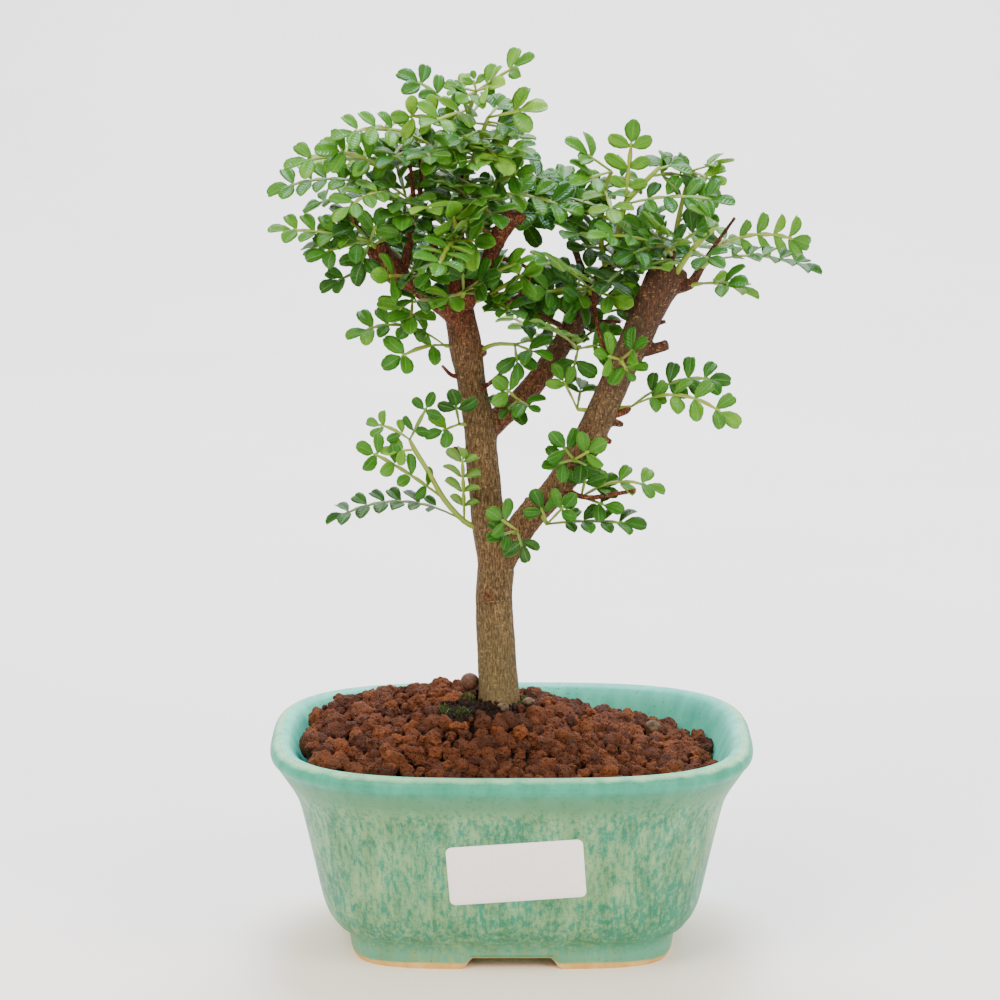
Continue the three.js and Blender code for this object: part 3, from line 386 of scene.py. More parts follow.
for mask, tone in ((painted_floor_light, linear("#62A78A")), (pale, veil_tone.outputs[2]), (clean, tones["lip"]),
                   (inside, tones["inside"]), (edge, linear("#9AD59A")), (pin_mask, linear("#4F5A3C")),
                   (bare, clay)):
    colour = add(tree, "ShaderNodeMix", {0: mask, 6: colour, 7: tone}, data_type="RGBA").outputs[2]
rough = add(tree, "ShaderNodeMapRange", {0: bare, 3: 0.5, 4: 0.85})
relief = add(tree, "ShaderNodeMath", {0: pale, 1: -1.2, 2: runs.outputs[0]}, operation="MULTIPLY_ADD")
bump = add(tree, "ShaderNodeBump", {"Height": relief, "Strength": 0.3, "Distance": 0.0001})
connect(tree, shader, {"Base Color": colour, "Roughness": rough, "Normal": bump})
pot.data.materials.clear()
pot.data.materials.append(glaze)
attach(pot, "root")
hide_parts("pot")
print("glazed", pot.name)

# %% [markdown]
# The paper label lies on the front wall. A label is too thin to model flat and then bend, so each of its
# points is laid on the wall directly: the section gives the pot's half length at that height, and the
# superellipse gives how far the wall stands out there. The paper is coated and nearly white, with a faint
# unevenness 0.7 mm wide from its fibres.

# %% The label
LABEL_HALF = (17.8, 8.45)
LABEL_CORNER = 1.6
LABEL_MIDDLE = (1.1, 30.5)
LABEL_TILT = math.radians(4.2)
# share of the label's outline and height above the wall, ring by ring from its front to its back
LABEL_RINGS = [(0.2, 0.3), (0.5, 0.3), (0.8, 0.3), (0.985, 0.3), (1, 0.22),
               (1, 0.06), (0.8, 0.06), (0.2, 0.06)]
below_lip = np.arange(len(section)) < np.argmax(section[:, 1] > LIP_TOP - 0.1)
outer_rows = section[(section[:, 1] > 8.9) & below_lip]


def on_front_wall(x, z, proud):
    half_length = np.interp(z, outer_rows[:, 1], outer_rows[:, 0])
    power = squareness(z)
    out = half_depth(half_length) * (1 - (abs(x) / half_length) ** power) ** (1 / power)
    return [x, -out - proud, z]


def label_outline():
    half_x, half_z = LABEL_HALF
    out = []
    for corner, (sx, sz) in enumerate([(1, 1), (-1, 1), (-1, -1), (1, -1)]):
        for step in range(7):
            turn = math.pi / 2 * (corner + step / 6)
            out.append((sx * (half_x - LABEL_CORNER) + LABEL_CORNER * math.cos(turn),
                        sz * (half_z - LABEL_CORNER) + LABEL_CORNER * math.sin(turn)))
    return out


def label_mesh():
    outline = label_outline()
    count = len(outline)
    points = []
    for share, proud in LABEL_RINGS:
        for a, b in outline:
            x = LABEL_MIDDLE[0] + share * (a * math.cos(LABEL_TILT) - b * math.sin(LABEL_TILT))
            z = LABEL_MIDDLE[1] + share * (a * math.sin(LABEL_TILT) + b * math.cos(LABEL_TILT))
            points.append(on_front_wall(x, z, proud))
    last = len(LABEL_RINGS) - 1
    faces = [tuple(range(count)), tuple(reversed(range(last * count, (last + 1) * count)))]
    for ring in range(last):
        for i in range(count):
            a, b = ring * count + i, ring * count + (i + 1) % count
            faces.append((b, a, a + count, b + count))
    return points, faces


label = make_object("paper_label", *label_mesh())
weld(label)
paper = grainy_material(
    "coated label paper", {"Roughness": 0.55, "IOR": 1.45}, {"Scale": 1500.0, "Detail": 5.0},
    [(0.3, "#F7F1EF"), (0.7, "#FFFBF9")], {"Strength": 0.2, "Distance": 0.00003})
label.data.materials.append(paper)
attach(label, "root")
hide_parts("blank_label")
print("label triangles", triangles(label))

# %% [markdown]
# Under the granules lie two squares of moulded plastic mesh over the drain holes. Their solids already have
# the right shape, so they stay and only get a finish: black plastic with the faint grain of its mould, about
# 0.4 mm wide.

# %% Drain screens
mesh_plastic = grainy_material(
    "moulded black polyethylene", {"Roughness": 0.5, "IOR": 1.51}, {"Scale": 2500.0, "Detail": 2.0},
    [(0.3, "#1C1C1D"), (0.7, "#2A2A2B")], {"Strength": 0.3, "Distance": 0.00004})
for name in ("drain_screen_left", "drain_screen_right"):
    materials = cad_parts[name].data.materials
    materials.clear()
    materials.append(mesh_plastic)
print("screens finished")

# %% [markdown]
# The filling is a heap of fired clay granules, higher in the middle where the tree was planted. It could be
# one bumpy skin, but single granules throw the deep shadows that a heap has. So the heap is a smooth mound,
# a sum of two bell-shaped humps, that tells the granules where to lie. Patches of it are rings of points
# round the trunk's foot, and a nearly black bed lies 3.4 mm below it and closes the gaps between the
# granules: there its darkness is painted shade. In front of the trunk and left of it the bed comes up:
# there the soil is bare and wet.

# %% The mound
MOUND_EDGE, MOUND_SLOPE = 52.3, -0.05
# rise, spread, x, y
HUMPS = [(14, 24, -4, 0), (4, 17, -32, 18)]
TRUNK_FOOT = (-3.4, 0)
# x, y, half length, half depth
MOIST_PATCHES = [(-13.5, -8, 7, 7), (-3.4, -7.5, 6, 4)]


def mound_height(x, y):
    height = MOUND_EDGE + MOUND_SLOPE * x
    for rise, spread, hump_x, hump_y in HUMPS:
        height += rise * np.exp(-((x - hump_x) ** 2 + (y - hump_y) ** 2) / (2 * spread ** 2))
    return height


def moist(x, y):
    """1 in the middle of a patch where the soil lies bare and wet, 0 outside them."""
    away = min(math.hypot((x - at_x) / half_x, (y - at_y) / half_y)
               for at_x, at_y, half_x, half_y in MOIST_PATCHES)
    return 1 - smooth_step(away, 0.7, 1.1)


def mound_patch(name, reach, sunk, rings=26, sides=72, hole=0.0, wet=False):
    """The mound's skin out to a half length, without a hole round the trunk, dry or wet part only."""
    points = []
    for ring in range(rings + 1):
        for side in range(sides):
            x, y, _ = rim(2 * math.pi * side / sides, reach, 50)
            share = hole / reach + (1 - hole / reach) * ring / rings
            x, y = TRUNK_FOOT[0] + (x - TRUNK_FOOT[0]) * share, y * share
            points.append([x, y, mound_height(x, y) - sunk])
    faces = []
    for ring in range(rings):
        for side in range(sides):
            a, b = ring * sides + side, ring * sides + (side + 1) % sides
            middle = np.mean([points[a], points[b + sides]], axis=0)
            if (moist(middle[0], middle[1]) >= 0.5) == wet:
                faces.append((a, a + sides, b + sides, b))
    return make_object(name, points, faces)


BED_SUNK, WET_RISE, BED_LUMP = 3.4, 3.2, 0.45
# half length and height of the bed's sides and bottom, just inside the pot's walls and floor
BED_SIDES = [(50, 36), (45.3, 18), (37.3, 9.5), (0, 9.5)]


def soil_bed_mesh(rings=46, sides=144, reach=54.6):
    rng = np.random.default_rng(3)
    points, faces = [], []
    for ring in range(rings + 1):
        for side in range(sides):
            x, y, _ = rim(2 * math.pi * side / sides, reach * ring / rings, 50)
            lump = BED_LUMP * rng.standard_normal() if 0 < ring < rings else 0
            points.append([x, y, mound_height(x, y) - BED_SUNK + WET_RISE * moist(x, y) + lump])
    for half_length, z in BED_SIDES:
        for side in range(sides):
            points.append(rim(2 * math.pi * side / sides, half_length, z))
    for row in range(rings + len(BED_SIDES)):
        for side in range(sides):
            a, b = row * sides + side, row * sides + (side + 1) % sides
            faces.append((b, a, a + sides, b + sides))
    return points, faces


bed = make_object("soil_bed", *soil_bed_mesh())
weld(bed)
print("bed triangles", triangles(bed))

# %% [markdown]
# The granules are 3 to 7 mm across. They are made by Geometry Nodes: points spread over the mound no closer
# than a given distance, a small ball on each, turned and stretched at random. Once the instances are made
# real, two noises in space, of 2.5 mm and 0.8 mm, push every ball into its own lumpy shape. So one ball
# serves for all of them, with 80 faces in the hidden layer and 320 in the one on top.

# %% Granules by Geometry Nodes
def geometry_tree(name, inputs):
    """A Geometry Nodes group with named inputs; gives the group, its input node and its output node."""
    group = bpy.data.node_groups.new(name, "GeometryNodeTree")
    group.interface.new_socket("Geometry", in_out="INPUT", socket_type="NodeSocketGeometry")
    for label, kind in inputs.items():
        group.interface.new_socket(label, in_out="INPUT", socket_type=kind)
    group.interface.new_socket("Geometry", in_out="OUTPUT", socket_type="NodeSocketGeometry")
    return group, group.nodes.new("NodeGroupInput"), group.nodes.new("NodeGroupOutput")


def apply_tree(obj, group, values):
    """Runs a Geometry Nodes group on an object and keeps the plain mesh that it makes."""
    modifier = obj.modifiers.new(group.name, "NODES")
    modifier.node_group = group
    for item in group.interface.items_tree:
        if item.item_type == "SOCKET" and item.in_out == "INPUT" and item.name in values:
            modifier[item.identifier] = values[item.name]
    return plain_mesh(obj)


heap, given, result = geometry_tree("granule heap", {
    "Spacing": "NodeSocketFloat", "Smallest": "NodeSocketFloat", "Largest": "NodeSocketFloat",
    "Detail": "NodeSocketInt", "Lumps": "NodeSocketFloat", "Grit": "NodeSocketFloat",
    "Seed": "NodeSocketInt", "Material": "NodeSocketMaterial"})
spots = add(heap, "GeometryNodeDistributePointsOnFaces", {
    "Mesh": given.outputs["Geometry"], "Distance Min": given.outputs["Spacing"], "Density Max": 600000.0,
    "Seed": given.outputs["Seed"]}, distribute_method="POISSON")
ball = add(heap, "GeometryNodeMeshIcoSphere", {"Radius": 1.0, "Subdivisions": given.outputs["Detail"]})
turn = add(heap, "FunctionNodeRandomValue", {1: (6.283, 6.283, 6.283), "Seed": given.outputs["Seed"]},
           data_type="FLOAT_VECTOR")
luck = add(heap, "FunctionNodeRandomValue", {2: 0.0, 3: 1.0, 8: 17}, data_type="FLOAT")
skewed = add(heap, "ShaderNodeMath", {0: luck.outputs[1], 1: 1.7}, operation="POWER")
radius = add(heap, "ShaderNodeMapRange", {
    0: skewed, 3: given.outputs["Smallest"], 4: given.outputs["Largest"]})
stretch = add(heap, "FunctionNodeRandomValue", {0: (0.78, 0.78, 0.6), 1: (1.25, 1.1, 0.95), 8: 5},
              data_type="FLOAT_VECTOR")
size = add(heap, "ShaderNodeVectorMath", {0: stretch.outputs[0], 3: radius.outputs[0]}, operation="SCALE")
placed = add(heap, "GeometryNodeInstanceOnPoints", {
    "Points": spots.outputs["Points"], "Instance": ball.outputs["Mesh"], "Rotation": turn.outputs[0],
    "Scale": size.outputs[0]})
tint = add(heap, "FunctionNodeRandomValue", {2: 0.0, 3: 1.0, 8: 29}, data_type="FLOAT")
tinted = add(heap, "GeometryNodeStoreNamedAttribute", {
    "Geometry": placed, "Name": "tint", "Value": tint.outputs[1]}, data_type="FLOAT", domain="INSTANCE")
real = add(heap, "GeometryNodeRealizeInstances", {"Geometry": tinted})
push = 0.0
for label, scale in (("Lumps", 400.0), ("Grit", 1300.0)):
    waves = add(heap, "ShaderNodeTexNoise", {"Scale": scale, "Detail": 2.0, "Roughness": 0.6})
    centred = add(heap, "ShaderNodeMath", {0: waves.outputs[0], 1: 0.5}, operation="SUBTRACT")
    push = add(heap, "ShaderNodeMath", {0: centred, 1: given.outputs[label], 2: push},
               operation="MULTIPLY_ADD")
outward = add(heap, "GeometryNodeInputNormal")
offset = add(heap, "ShaderNodeVectorMath", {0: outward, 3: push}, operation="SCALE")
shaped = add(heap, "GeometryNodeSetPosition", {"Geometry": real, "Offset": offset.outputs[0]})
finished = add(heap, "GeometryNodeSetMaterial", {"Geometry": shaped, "Material": given.outputs["Material"]})
heap.links.new(finished.outputs[0], result.inputs[0])
print("heap nodes", len(heap.nodes))

# %% [markdown]
# The granules are low-fired red clay: dull, thirsty and full of pores, mostly umber, a few brick orange.
# Each granule takes one tint of its own, which Geometry Nodes left on its points. Pores of about 0.4 mm and
# a coarser mottling of 1.2 mm break it up, in colour and in bump. The bed below is nearly black: moist soil
# where it lies bare, painted shade where it shows between the granules.

# %% Fired clay
fired_clay, tree, shader, where = new_material("low-fired red clay", {
    "Roughness": 0.92, "IOR": 1.45, "Specular IOR Level": 0.3})
tint = add(tree, "ShaderNodeAttribute", attribute_name="tint").outputs["Fac"]
mottle = add(tree, "ShaderNodeTexNoise", {"Vector": where, "Scale": 800.0, "Detail": 6.0, "Roughness": 0.75})
pores = add(tree, "ShaderNodeTexVoronoi", {"Vector": where, "Scale": 1100.0})
shift = add(tree, "ShaderNodeMath", {0: mottle, 1: 1.4, 2: -0.7}, operation="MULTIPLY_ADD")
tone_at = add(tree, "ShaderNodeMath", {0: tint, 1: shift}, operation="ADD")
tone = add(tree, "ShaderNodeValToRGB", {0: tone_at}, stops=[
    (0.0, "#512D1D"), (0.3, "#683A23"), (0.8, "#7B4526"), (0.97, "#864B27"), (1.0, "#965429")])
hole = add(tree, "ShaderNodeMapRange", {0: pores.outputs["Distance"], 1: 0.1, 2: 0.4, 3: 0.35, 4: 1.0})
darker = add(tree, "ShaderNodeMix", {0: 1.0, 6: tone, 7: hole.outputs[0]}, data_type="RGBA",
             blend_type="MULTIPLY")
height = add(tree, "ShaderNodeMath", {0: mottle, 1: 1.5, 2: hole.outputs[0]}, operation="MULTIPLY_ADD")
bump = add(tree, "ShaderNodeBump", {"Height": height, "Strength": 1.0, "Distance": 0.0016})
connect(tree, shader, {"Base Color": darker.outputs[2], "Normal": bump})
# painted shade: the bed is nearly black so that it stands for the shade in the gaps between granules; where
# it comes up bare it is wet soil
wet_soil_and_gap_shade = grainy_material(
    "moist soil and painted gap shade", {"Roughness": 0.8, "IOR": 1.4, "Specular IOR Level": 0.25},
    {"Scale": 900.0, "Detail": 6.0, "Roughness": 0.7}, [(0.35, "#0C0806"), (0.7, "#301D12")],
    {"Strength": 1.0, "Distance": 0.0006})
bed.data.materials.append(wet_soil_and_gap_shade)
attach(bed, "root")
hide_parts("soil")
print("clay nodes", len(tree.nodes))

# %% [markdown]
# The heap has two layers of granules, one 2.9 mm below the mound's skin that fills the gaps, and one near
# it. A third patch covers the bare wet spots with crumbs of soil 1 to 2 mm across. All three come from the
# same tree, each with its own seed. Edges sharper than 50 degrees stay sharp, as on broken clay.

# %% The heaps
# the patch, how large its granules are (least distance, radii), how fine, how lumpy and what they are of
HEAPS = [
    (mound_patch("granules_lower", 53.6, 2.9, hole=7), (3.5, 1.4, 3.7), 2, (3.2, 0.8), fired_clay),
    (mound_patch("granules_upper", 53.4, 0.9, hole=8), (3.4, 1.4, 3.2), 3, (3.4, 1.6), fired_clay),
    (mound_patch("wet_crumbs", 40, -0.2, rings=60, sides=120, wet=True), (1.0, 0.35, 0.9), 2, (0.9, 0.4),
     wet_soil_and_gap_shade),
]
FIRST_HEAP_SEED = 4
for seed, (patch, sizes, detail, roughness, material) in enumerate(HEAPS, FIRST_HEAP_SEED):
    spacing, smallest, largest = (size * MM for size in sizes)
    lumps, grit = (size * MM for size in roughness)
    apply_tree(patch, heap, {"Spacing": spacing, "Smallest": smallest, "Largest": largest, "Detail": detail,
                             "Lumps": lumps, "Grit": grit, "Seed": seed, "Material": material})
    patch.data.set_sharp_from_angle(angle=math.radians(50))
    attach(patch, "root")
    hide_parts("soil")
    print(patch.name, "triangles", triangles(patch))

# %% [markdown]
# The wood is a set of limbs, each a curve with a radius at every point. The same limbs are in the frame's
# solid, where they are joined with creases. Here round tubes are sunk into each other and a voxel remesh
# melts them into one skin, with the soft collars that grown wood has at its forks. Twigs thinner than two
# voxels would dissolve, so they stay tubes of their own.

# %% The limbs
# across, up, depth, radius
WOOD = {
    "trunk": [
        [-3.4, 38, 0, 5], [-3.4, 52, 0, 5.8], [-3.4, 63, 0, 6], [-3.4, 68, 0, 5.4], [-4.2, 82, 0, 5.1],
        [-4.7, 94, 0, 5], [-4.2, 104, 0, 4.9], [-5.8, 113, 0, 4.8], [-6.8, 121, 0, 4.4], [-7.9, 132, 0, 4.3],
        [-8.4, 140, 0, 4.3], [-9.9, 148, 0, 3.9], [-10.7, 153, 0, 3.9], [-12, 161, 0, 4.2],
        [-12.8, 166, 0.5, 4.2], [-13.8, 172, 1, 3.9], [-13.5, 180, 1.5, 2.6], [-13.5, 185, 2, 2.3],
        [-14, 190, 2, 1.9], [-14.3, 195, 2, 1.5], [-13, 201, 2, 1.1], [-12.6, 208, 2, 0.8]],
    "right_bough": [
        [-4.2, 101, 0, 3.6], [-0.8, 107.8, -1, 4], [4.9, 116.5, -3, 3.8], [11.5, 123.5, -5, 3.7],
        [18.1, 133, -6, 4], [23.3, 143.7, -6, 4], [28, 154.4, -6, 3.9], [32.4, 163.8, -6, 4.2],
        [36.2, 173, -6, 4.4], [39.4, 179, -6, 4.9], [41.2, 182.4, -6, 4.4]],
    "middle_branch": [
        [-9, 136, 1, 2.8], [-6.3, 139.7, 1, 3], [-3.1, 143, 2, 3.1], [2.2, 147.8, 3, 2.9],
        [8.7, 155.8, 4, 2.9], [13.9, 163.8, 5, 2.9], [17.8, 170.4, 6, 2.9], [21, 175.7, 7, 2.6],
        [24.3, 181.7, 8, 1.9], [27.7, 184.9, 9, 1.5]],
    "left_bough": [
        [-13.6, 168, 0, 3], [-15.6, 171.2, -1, 3.1], [-20.1, 174.4, -2, 2.8], [-24, 177, -3, 2.4],
        [-29.2, 180.2, -4, 2.9], [-33.1, 184.4, -4, 3.5], [-35.7, 188.1, -4, 2.8]],
    "upper_stub": [
        [-12.5, 173, 0, 2.6], [-7, 182.3, -2, 2.2], [-3.9, 190.2, -3, 2.3], [0.8, 197.2, -4, 2.6]],
    "left_upright": [
        [-28.6, 180, -4, 1.3], [-26.6, 190.2, -3, 1], [-26, 195, -3, 0.9], [-25.7, 202, -3, 0.7],
        [-26.5, 209.7, -3, 0.6], [-29, 213.6, -3, 0.5]],
    "leader_bud_twig": [[-17.5, 176, 0, 1.4], [-20.8, 190.2, 2, 1.1], [-21.8, 196.4, 3, 0.9]],
    "dark_twig": [[-16, 180, 3, 1.1], [-20, 182.6, 6, 0.9], [-25.3, 184.4, 8, 0.8]],
    "crown_twig": [[21, 175.7, 7, 1.1], [16.4, 187.5, 12, 0.9], [13.8, 197.5, 12, 0.7]],
    "side_branch": [
        [35.5, 168, -6, 1.6], [31.5, 171.2, -3, 1.3], [28.8, 172.8, -2, 1.2], [25.7, 176.4, -1, 1]],
    "right_stub": [[32, 160.5, -6, 1.6], [36.6, 161.1, -7, 1.5], [41, 162.4, -8, 1.4]],
    "top_stub": [[39.8, 180, -5, 1.6], [41, 184, -5, 1.3], [42, 187.5, -5, 1.1]],
    "right_twig": [
        [41.5, 177, -6, 1.6], [46.5, 178.3, -8, 1.3], [49.1, 182.3, -9, 1], [52.2, 187.5, -8, 0.7],
        [58.1, 196, -7, 0.5]],
    "trunk_knob_left": [[-9, 132.8, 0, 1.6], [-12.9, 133.4, 0, 1]],
    "trunk_knob_right": [[-10, 160.5, 0, 1.8], [-6.9, 160.8, -1, 1.3]],
    "bough_thorn_middle": [[26, 142, -6, 1.2], [29.4, 141, -7, 0.7]],
    "bough_thorn_low": [[23, 137.5, -6, 1.2], [26.4, 136.4, -7, 0.7]],
    "bough_knob": [[4, 117, -3, 1.4], [4.4, 121.5, -3, 0.9]],
    "cut_lump_left": [[38.4, 180.4, -7, 2], [38, 183, -8.4, 1.3]],
    "cut_lump_right": [[43.4, 180, -7, 2], [45, 181.6, -8, 1.2]],
    "cut_lump_front": [[41.6, 181, -8.6, 1.8], [41.8, 183.6, -9.6, 1]],
    "left_end_lump": [[-34, 186.6, -5, 2.1], [-33.4, 189.6, -6, 1.4]],
    "left_end_point": [[-36, 186.4, -5.6, 1.7], [-38, 187.8, -6.2, 0.9]],
    "stub_end_lump": [[1.2, 195.6, -5, 2], [3, 197, -5.6, 1.2]],
}
BARE_TWIGS = {
    "left_fork": [[-26, 196, -3, 0.6], [-23.8, 203, -1, 0.6], [-23.6, 211, 0, 0.5]],
    "left_tip": [[-35.5, 187.5, -4, 0.7], [-37.6, 190.6, -5, 0.5], [-42.1, 196.2, -7, 0.45]],
    "upper": [[-4.2, 190, -3, 0.7], [-9.6, 194.8, -7, 0.6], [-12.7, 198, -9, 0.5]],
    "wire": [[-5.5, 186, -2, 0.6], [3.9, 182.8, -6, 0.5], [3.4, 177, -7, 0.45], [-1.8, 173, -8, 0.4]],
    "middle_low": [[13.5, 166, 5, 0.7], [12, 168, 3, 0.6], [6.9, 170.5, 0, 0.5]],
    "middle_high": [[17.5, 168.5, 6, 0.6], [12.5, 172.3, 3, 0.5]],
    "middle_right": [[19, 169.5, 6, 0.6], [22, 168.8, 4, 0.5], [28.5, 168.4, 2, 0.45]],
    "hanging": [[21, 177, 5, 0.6], [21.5, 176, 1, 0.6], [22, 169, -1, 0.55], [24.4, 160.6, -1, 0.5]],
    "trunk_left": [[-12, 154, 0, 0.8], [-15.6, 154.2, -2, 0.6], [-18.3, 156.8, -3, 0.4]],
    "trunk_right": [[-10.5, 149.5, -1, 0.8], [-6, 152, -4, 0.6], [-2.3, 155.3, -5, 0.5]],
    "thorn_high": [[36, 167.5, -6, 0.9], [40.3, 168.6, -6, 0.5]],
    "trunk_bud": [[-12.6, 133.4, 0, 0.9], [-14, 133.9, -0.4, 1.2], [-15.4, 134.8, -0.8, 0.5]],
    "bough_bud": [[24.6, 143, -6, 1], [28.4, 144, -7, 0.9], [30.2, 144.8, -7.4, 0.9], [31.2, 145.4, -8, 0.4]],
    "low_right": [
        [13.5, 123.5, -7.5, 0.8], [20, 121.4, -10, 0.7], [27.5, 122.4, -11, 0.6], [32.7, 123.3, -11, 0.5]],
}
print("limbs", len(WOOD), "bare twigs", len(BARE_TWIGS))

# %% [markdown]
# A tube is a ring of points carried along a smooth curve through the limb's rows. Blender has curves with a
# bevel for that, but a ring carried by hand keeps its turn from one row to the next, closes both ends and
# can be joined with other pieces before it becomes a mesh. A voxel of 0.42 mm keeps the finest limb.

# %% Tubes and the melted wood
def tube(rows, sides, steps=4):
    """Points and faces of a round tube along rows of (x, y, z, radius), closed at both ends."""
    path = np.array(smooth_path(rows, steps))
    centres, radii = path[:, :3], path[:, 3]
    tangents = np.gradient(centres, axis=0)
    tangents /= np.linalg.norm(tangents, axis=1)[:, None]
    side = np.cross(tangents[0], [0.3, 1, 0.2])
    points = []
    for centre, tangent, radius in zip(centres, tangents, radii):
        side = side - tangent * side.dot(tangent)
        side /= np.linalg.norm(side)
        other = np.cross(tangent, side)
        for i in range(sides):
            turn = 2 * math.pi * i / sides
            points.append(centre + radius * (math.cos(turn) * side + math.sin(turn) * other))
    faces = [tuple(reversed(range(sides))), tuple(range(len(points) - sides, len(points)))]
    for row in range(len(centres) - 1):
        for i in range(sides):
            a, b = row * sides + i, row * sides + (i + 1) % sides
            faces.append((a, b, b + sides, a + sides))
    return points, faces


def gather(parts):
    """Joins several (points, faces) into one."""
    points, faces = [], []
    for some_points, some_faces in parts:
        start = len(points)
        points += list(some_points)
        faces += [tuple(start + i for i in face) for face in some_faces]
    return points, faces


def as_placed(rows):
    return [[*seen(row), row[3]] for row in rows]


VOXEL = 0.42
trunk = make_object("trunk_wood", *gather(tube(as_placed(rows), 20) for rows in WOOD.values()))
melt = trunk.modifiers.new("melt", "REMESH")
melt.mode, melt.voxel_size, melt.use_smooth_shade = "VOXEL", VOXEL * MM, True
plain_mesh(trunk)
print("trunk triangles", triangles(trunk))

# %% [markdown]
# Bark relief goes in as real shape, because it shows on the outline: shallow lengthwise furrows 2 mm wide and
# slow knuckles of 11 mm. A Geometry Nodes tree pushes the skin along its normals by two noises, one of them
# stretched along the trunk.

# %% Bark relief by Geometry Nodes
bark_relief, given, result = geometry_tree("bark relief", {"Depth": "NodeSocketFloat"})
spot = add(bark_relief, "GeometryNodeInputPosition")
along = add(bark_relief, "ShaderNodeVectorMath", {0: spot, 1: (520.0, 520.0, 190.0)}, operation="MULTIPLY")
furrow = add(bark_relief, "ShaderNodeTexNoise", {
    "Vector": along, "Scale": 1.0, "Detail": 3.0, "Roughness": 0.6})
knuckle = add(bark_relief, "ShaderNodeTexNoise", {"Vector": spot, "Scale": 90.0, "Detail": 2.0})
both = add(bark_relief, "ShaderNodeMath", {
    0: knuckle, 1: 1.6, 2: furrow.outputs[0]}, operation="MULTIPLY_ADD")
level = add(bark_relief, "ShaderNodeMath", {0: both, 1: 1.3}, operation="SUBTRACT")
deep = add(bark_relief, "ShaderNodeMath", {0: level, 1: given.outputs["Depth"]}, operation="MULTIPLY")
outward = add(bark_relief, "GeometryNodeInputNormal")
offset = add(bark_relief, "ShaderNodeVectorMath", {0: outward, 3: deep}, operation="SCALE")
moved = add(bark_relief, "GeometryNodeSetPosition", {
    "Geometry": given.outputs["Geometry"], "Offset": offset.outputs[0]})
bark_relief.links.new(moved.outputs[0], result.inputs[0])
apply_tree(trunk, bark_relief, {"Depth": 0.55 * MM})
print("relief nodes", len(bark_relief.nodes))

# %% [markdown]
# What tells old wood from young is written on the points, for the bark's material to read: near the base
# the bark is grey-brown, the upper boughs and cut stubs are rust-brown. Where two limbs meet, the one that
# is nearer wins, over a band of 1.6 mm. Old buds leave round scars: a raised ring with a dip in its middle.
# A painted shade is written there too: the right bough darkens towards the crown, as in the shade of its
# leaves.

# %% Age and bud scars
# how rust-brown each limb is; the rest is grey-brown
RUST = {"trunk": 0.0, "right_bough": 0.14, "middle_branch": 0.7, "left_bough": 0.95, "upper_stub": 1.0,
        "left_upright": 0.9, "leader_bud_twig": 0.9, "dark_twig": 1.0, "crown_twig": 0.6, "side_branch": 0.8,
        "right_stub": 0.9, "top_stub": 0.9, "right_twig": 0.85}
OTHER_RUST = 0.8
AGE_BLEND = 1.6
# bud scars: across, up, depth, radius, height
SCARS = [[-6.2, 94.4, -4.6, 2.1, 0.75], [-3, 110.6, -4.7, 1.3, 0.5], [2.4, 111.5, -4.2, 1.2, 0.5],
         [-9.8, 121.6, -4, 1.1, 0.4], [-8.6, 163, -4, 1.6, 0.6], [12, 127, -9, 1.2, 0.4],
         [19.6, 140, -9.8, 1.2, 0.5], [30, 158, -9.6, 1.3, 0.5], [35, 170, -10, 1.4, 0.5],
         [5.6, 152, 0.6, 1.1, 0.4], [-7.4, 84, 3.8, 1.4, 0.5], [-3, 128, 3.4, 1.3, 0.5],
         [26, 146, -2.4, 1.4, 0.5], [-2, 74, 4.8, 1.6, 0.5]]


def write_values(mesh, label, values):
    layer = mesh.attributes.get(label) or mesh.attributes.new(label, "FLOAT", "POINT")
    layer.data.foreach_set("value", np.asarray(values, float))


def read_points(mesh):
    flat = np.empty(len(mesh.vertices) * 3)
    mesh.vertices.foreach_get("co", flat)
    return flat.reshape(-1, 3)


def dress_trunk(mesh):
    """Raises the bud scars and writes how rust-brown each point is and how much painted crown shade it takes.
    """
    points = (read_points(mesh) - np.array([POT_X, POT_Y, 0])) / MM
    rust = np.zeros(len(points))
    nearest = np.full(len(points), 1e9)
    for name, rows in WOOD.items():
        path = np.array(smooth_path(as_placed(rows), 3))
        gap = np.linalg.norm(points[:, None, :] - path[None, :, :3], axis=2) - path[None, :, 3]
        gap = gap.min(axis=1)
        amount = RUST.get(name, OTHER_RUST)
        share = np.clip(0.5 + (nearest - gap) / AGE_BLEND, 0, 1)
        rust = rust * (1 - share) + amount * share
        nearest = np.minimum(nearest, gap)
    leader = smooth_step(points[:, 2], 150, 176) * (points[:, 0] < 5)
    rust = np.maximum(rust, leader)
    bough_top = smooth_step(points[:, 2], 160, 178) * (points[:, 0] > 20)
    rust = np.maximum(rust, 0.75 * bough_top)
    normals = np.empty(len(points) * 3)
    mesh.vertices.foreach_get("normal", normals)
    normals = normals.reshape(-1, 3)
    for across, up, depth, radius, rise in SCARS:
        away = np.linalg.norm(points - seen([across, up, depth]), axis=1) / radius
        ring = np.exp(-((away - 0.75) / 0.3) ** 2) - 0.35 * np.exp(-(away / 0.35) ** 2)
        points = points + normals * (rise * ring)[:, None]
        rust = np.maximum(rust, 0.8 * np.exp(-(away / 0.8) ** 2))
    mesh.vertices.foreach_set("co", to_row_frame(points).ravel())
    write_values(mesh, "rust", rust)
    # painted shade: the right bough is darker the higher it reaches under the crown
    write_values(mesh, "crown_shade", smooth_step(points[:, 2], 118, 172) * smooth_step(points[:, 0], 4, 14))


dress_trunk(trunk.data)
print("scars", len(SCARS))

# %% [markdown]
# Bark of a young citrus relative is thin and finely cracked: grey-brown cork over rust-red skin, sprinkled
# with pale lenticels, the pores it breathes through. A fine noise, 0.4 mm wide and stretched to 1.7 mm along
# the trunk, makes the fibres of the cork. Two Voronois squeezed in height make the lenticels, the small ones
# about 0.6 mm wide and the large ones about 1 mm, less than half as high. Green grows on the damp foot.

